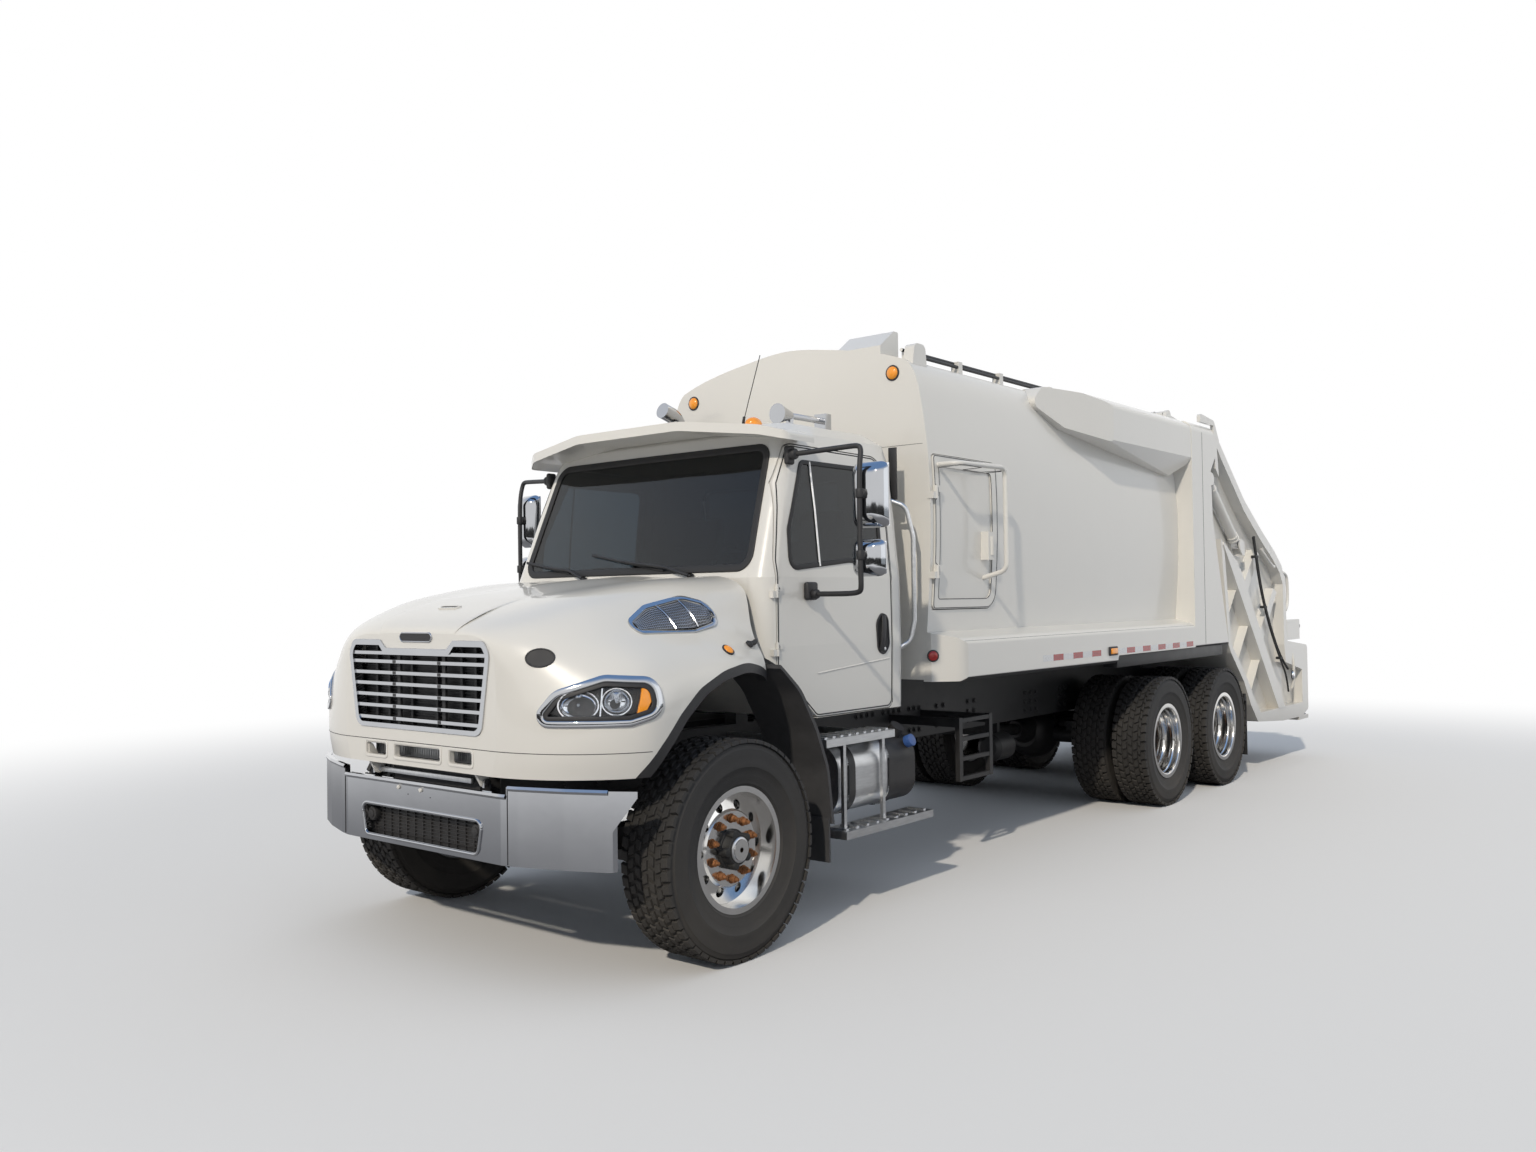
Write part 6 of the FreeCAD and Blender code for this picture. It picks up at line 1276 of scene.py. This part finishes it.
# %% Hoses and grab bars
hose_path = ((-7430, 2230), (-7500, 2040), (-7590, 1800), (-7730, 1560), (-7930, 1300), (-8180, 1050), (-8400, 930))
HOSE_LIFT = 26
top = max(land(["tailgate_flanks", "tailgate_shell"], at(x, 1800, z), (0, -1, 0)).y for x, z in hose_path)
top = top * 1000 + HOSE_LIFT
first = hose([(x, top, z) for x, z in hose_path], 11)
second = [(x + 34, top + 4, z - 8) for x, z in hose_path[:-1]]
second = hose(second + [(-8330, top - 4, 900), (-8400, top - 8, 800), (-8440, top - 10, 700)], 9)
clamps = [block((x - 20, top - 36, z - 12), (x + 52, top + 14, z + 12), 5) for x, z in hose_path[1::2]]
hoses = keep(join([first, second] + clamps), "tail_hoses_left", "tailgate", "seal_rubber")
bars = [hose([(-8330, 1200, 1900), (-8440, 1206, 1890), (-8480, 1206, 1800), (-8480, 1206, 1560), (-8420, 1200, 1520)],
             15),
        hose([(-7700, 1200, 2120), (-7740, 1216, 2060), (-8040, 1216, 1930), (-8080, 1200, 1960)], 14),
        hose([(-8600, 1190, 1100), (-8600, 1216, 1060), (-8600, 1216, 760), (-8600, 1190, 720)], 14)]
bars = keep(join(bars), "tail_bars_left", "tailgate", "white_enamel")
other_side([hoses, bars], "tailgate")
print("hoses and bars done")

# %% [markdown]
# The back of a refuse truck is seen by the traffic behind it, so it carries lamps on both sides and tape along its
# sill. The lamps come from the helper that made the markers. Each length of tape finds its own place on the sill.

# %% Lamps, and tape along the sill
for sign, side in ((1, "left"), (-1, "right")):
    back = Vector((-1, 0, 0))
    button(at(-8864, sign * 1166, 1350), back, 36, 14, "tail_lamp_" + side, "tailgate", "red_plastic")
    button(at(-8864, sign * 1166, 1276), back, 30, 12, "turn_lamp_" + side, "tailgate", "amber_plastic")
    button(at(-8560, sign * 1214, 860), Vector((0, sign, 0)), 38, 20, "work_lamp_" + side, "tailgate", "lamp_bowl")
for look, first_strip in (("tape_red", 0), ("tape_silver", 1)):
    strips = []
    for y in [-912 + 152 * k for k in range(first_strip, 12, 2)]:
        x = (land(["tailgate_shell"], at(-9500, y + 76, 900), (1, 0, 0)).x - FRONT_AXLE) * 1000
        strips.append(block((x - 0.4, y, 880), (x + 0.4, y + STRIP_CUT, 922), 0))
    keep(join(strips), look + "_sill", "tailgate", look)
print("tail lamps and tape done")

# %% [markdown]
# A hydraulic cylinder has a welded collar near each end of its barrel, which catches the light as a bright line. The
# collars are short rods on the cylinder's own axis, which is worked out from its two pins. The riding step gets grip
# bars, as the crew stands on it with wet boots.

# %% Cylinder bands and the riding step's grip
BARREL_RADIUS = 45
foot_pin, eye_pin = at(-6352, 0, 2700), at(-7080, 0, 2150)
length = (eye_pin - foot_pin).length
along = (eye_pin - foot_pin) / length
for sign, side in ((1, "left"), (-1, "right")):
    foot = foot_pin + Vector((0, sign * 1.165, 0))
    bands = [rod(foot + along * start, foot + along * (start + 0.022), (BARREL_RADIUS + grow) / 1000, 32, 0.002)
             for start, grow in ((0.120, 5), (length - 0.130, 7), (length - 0.092, 9))]
    keep(join(bands), "barrel_bands_" + side, "lift_barrel_" + side, "white_enamel")
grip = [block((x, 830, 424), (x + 10, 1190, 431), 1, 1) for x in [-9085 + k * 26 for k in range(12)]]
other_side([keep(join(grip), "step_grip_left", "tailgate", "bare_aluminium")], "tailgate")
print("tailgate done")

# %% [markdown]
# ## Floor and light
# A low warm sun comes from ahead of the truck and a little to its left, as in the photograph, and a pale world fills
# the shadows. The background is white up to the top of the picture and turns to a blue sky above it. The ground is
# grey for all but the camera, as a yard is. Two dark cards stand behind the camera, as photographers put them there
# for chrome: without something dark to mirror, a bumper looks like white plastic.

# %% Floor that is white in the distance and keeps the shadow
PAPER, YARD = (0.86, 0.86, 0.86, 1), (0.34, 0.34, 0.35, 1)


def matt(name, roughness, **values):
    """A plain material for the stage, with its tree and shader."""
    made = bpy.data.materials.new(name)
    made.use_nodes = True
    shader = made.node_tree.nodes["Principled BSDF"]
    for key, value in {"Roughness": roughness, **values}.items():
        shader.inputs[key.replace("_", " ")].default_value = value
    return made, made.node_tree, shader


floor = solid(bpy.ops.mesh.primitive_circle_add, vertices=96, radius=70, fill_type="NGON", location=(0, 0, -0.002))
floor.name = "floor"
paper, tree, paper_shader = matt("floor_paper", 0.95, Specular_IOR_Level=0.1)
distance = add(tree, "VectorMath", {0: add(tree, "TexCoord").outputs["Object"]}, "LENGTH")
fade = add(tree, "MapRange", {"Value": distance.outputs["Value"]}, From_Min=6.0, From_Max=13.0)
fade.interpolation_type = "SMOOTHSTEP"
seen_by = add(tree, "LightPath")
tone = add(tree, "Mix", {"Factor": seen_by.outputs["Is Camera Ray"]}, A=YARD, B=PAPER)
tree.links.new(tone.outputs["Result"], paper_shader.inputs["Base Color"])
blend = add(tree, "MixShader", {"Fac": fade.outputs["Result"], 1: paper_shader.outputs["BSDF"],
                                2: add(tree, "Emission").outputs["Emission"]})
tree.links.new(blend.outputs["Shader"], tree.nodes["Material Output"].inputs["Surface"])
floor.data.materials.append(paper)
print("floor laid")

# %% Sky
# The camera, chrome and glass see white that turns blue higher up. All else is lit by a pale colour.
world = bpy.data.worlds.new("studio")
world.use_nodes = True
bpy.context.scene.world = world
sky = world.node_tree
soft = sky.nodes["Background"]
soft.inputs["Color"].default_value = (0.80, 0.88, 1.0, 1)
soft.inputs["Strength"].default_value = 0.50
height = add(sky, "SeparateXYZ", {"Vector": add(sky, "TexCoord").outputs["Generated"]}).outputs["Z"]
seen = add(sky, "Background", {"Color": ramp(sky, height, (0.46, (1, 1, 1)), (0.75, (0.22, 0.38, 0.68)))})
rays = add(sky, "LightPath").outputs
lit = add(sky, "Math", {0: rays["Is Camera Ray"], 1: rays["Is Glossy Ray"]}, "MAXIMUM")
lit = add(sky, "Math", {0: lit.outputs["Value"], 1: rays["Is Transmission Ray"]}, "MAXIMUM")
choose = add(sky, "MixShader", {"Fac": lit.outputs["Value"], 1: soft.outputs["Background"],
                                2: seen.outputs["Background"]})
sky.links.new(choose.outputs["Shader"], sky.nodes["World Output"].inputs["Surface"])
print("sky set")

# %% Sun, fill and dark cards
def lamp(name, kind, place, target, energy, size, colour):
    """A lamp aimed at a point. Size is metres for an area and radians for a sun."""
    data = bpy.data.lights.new(name, kind)
    data.energy = energy
    data.color = colour
    setattr(data, "size" if kind == "AREA" else "angle", size)
    item = bpy.data.objects.new(name, data)
    bpy.context.scene.collection.objects.link(item)
    item.location = place
    item.rotation_euler = (Vector(target) - Vector(place)).to_track_quat("-Z", "Y").to_euler()


lamp("key", "SUN", (10, 3.4, 7.4), (0, 0, 0), 2.0, 0.03, (1.0, 0.91, 0.78))
lamp("fill", "AREA", (-2, 12, 5), (-1, 0, 1.2), 90, 8.0, (0.86, 0.93, 1.0))
card_look = matt("dark_card", 0.9, Base_Color=(0.035, 0.033, 0.03, 1))[0]
for name, place, turn, wide in (("card_front", (17, 1, 1.1), 90, 26), ("card_side", (4, 15, 1.1), 0, 30)):
    fresh()
    bpy.ops.mesh.primitive_plane_add(size=1, location=place, rotation=(math.pi / 2, 0, math.radians(turn)))
    card = bpy.context.object
    card.name = name
    card.scale = (wide, 2.2, 1)
    settle()
    card.data.materials.append(card_look)
    card.visible_camera = False
print("stage is set")
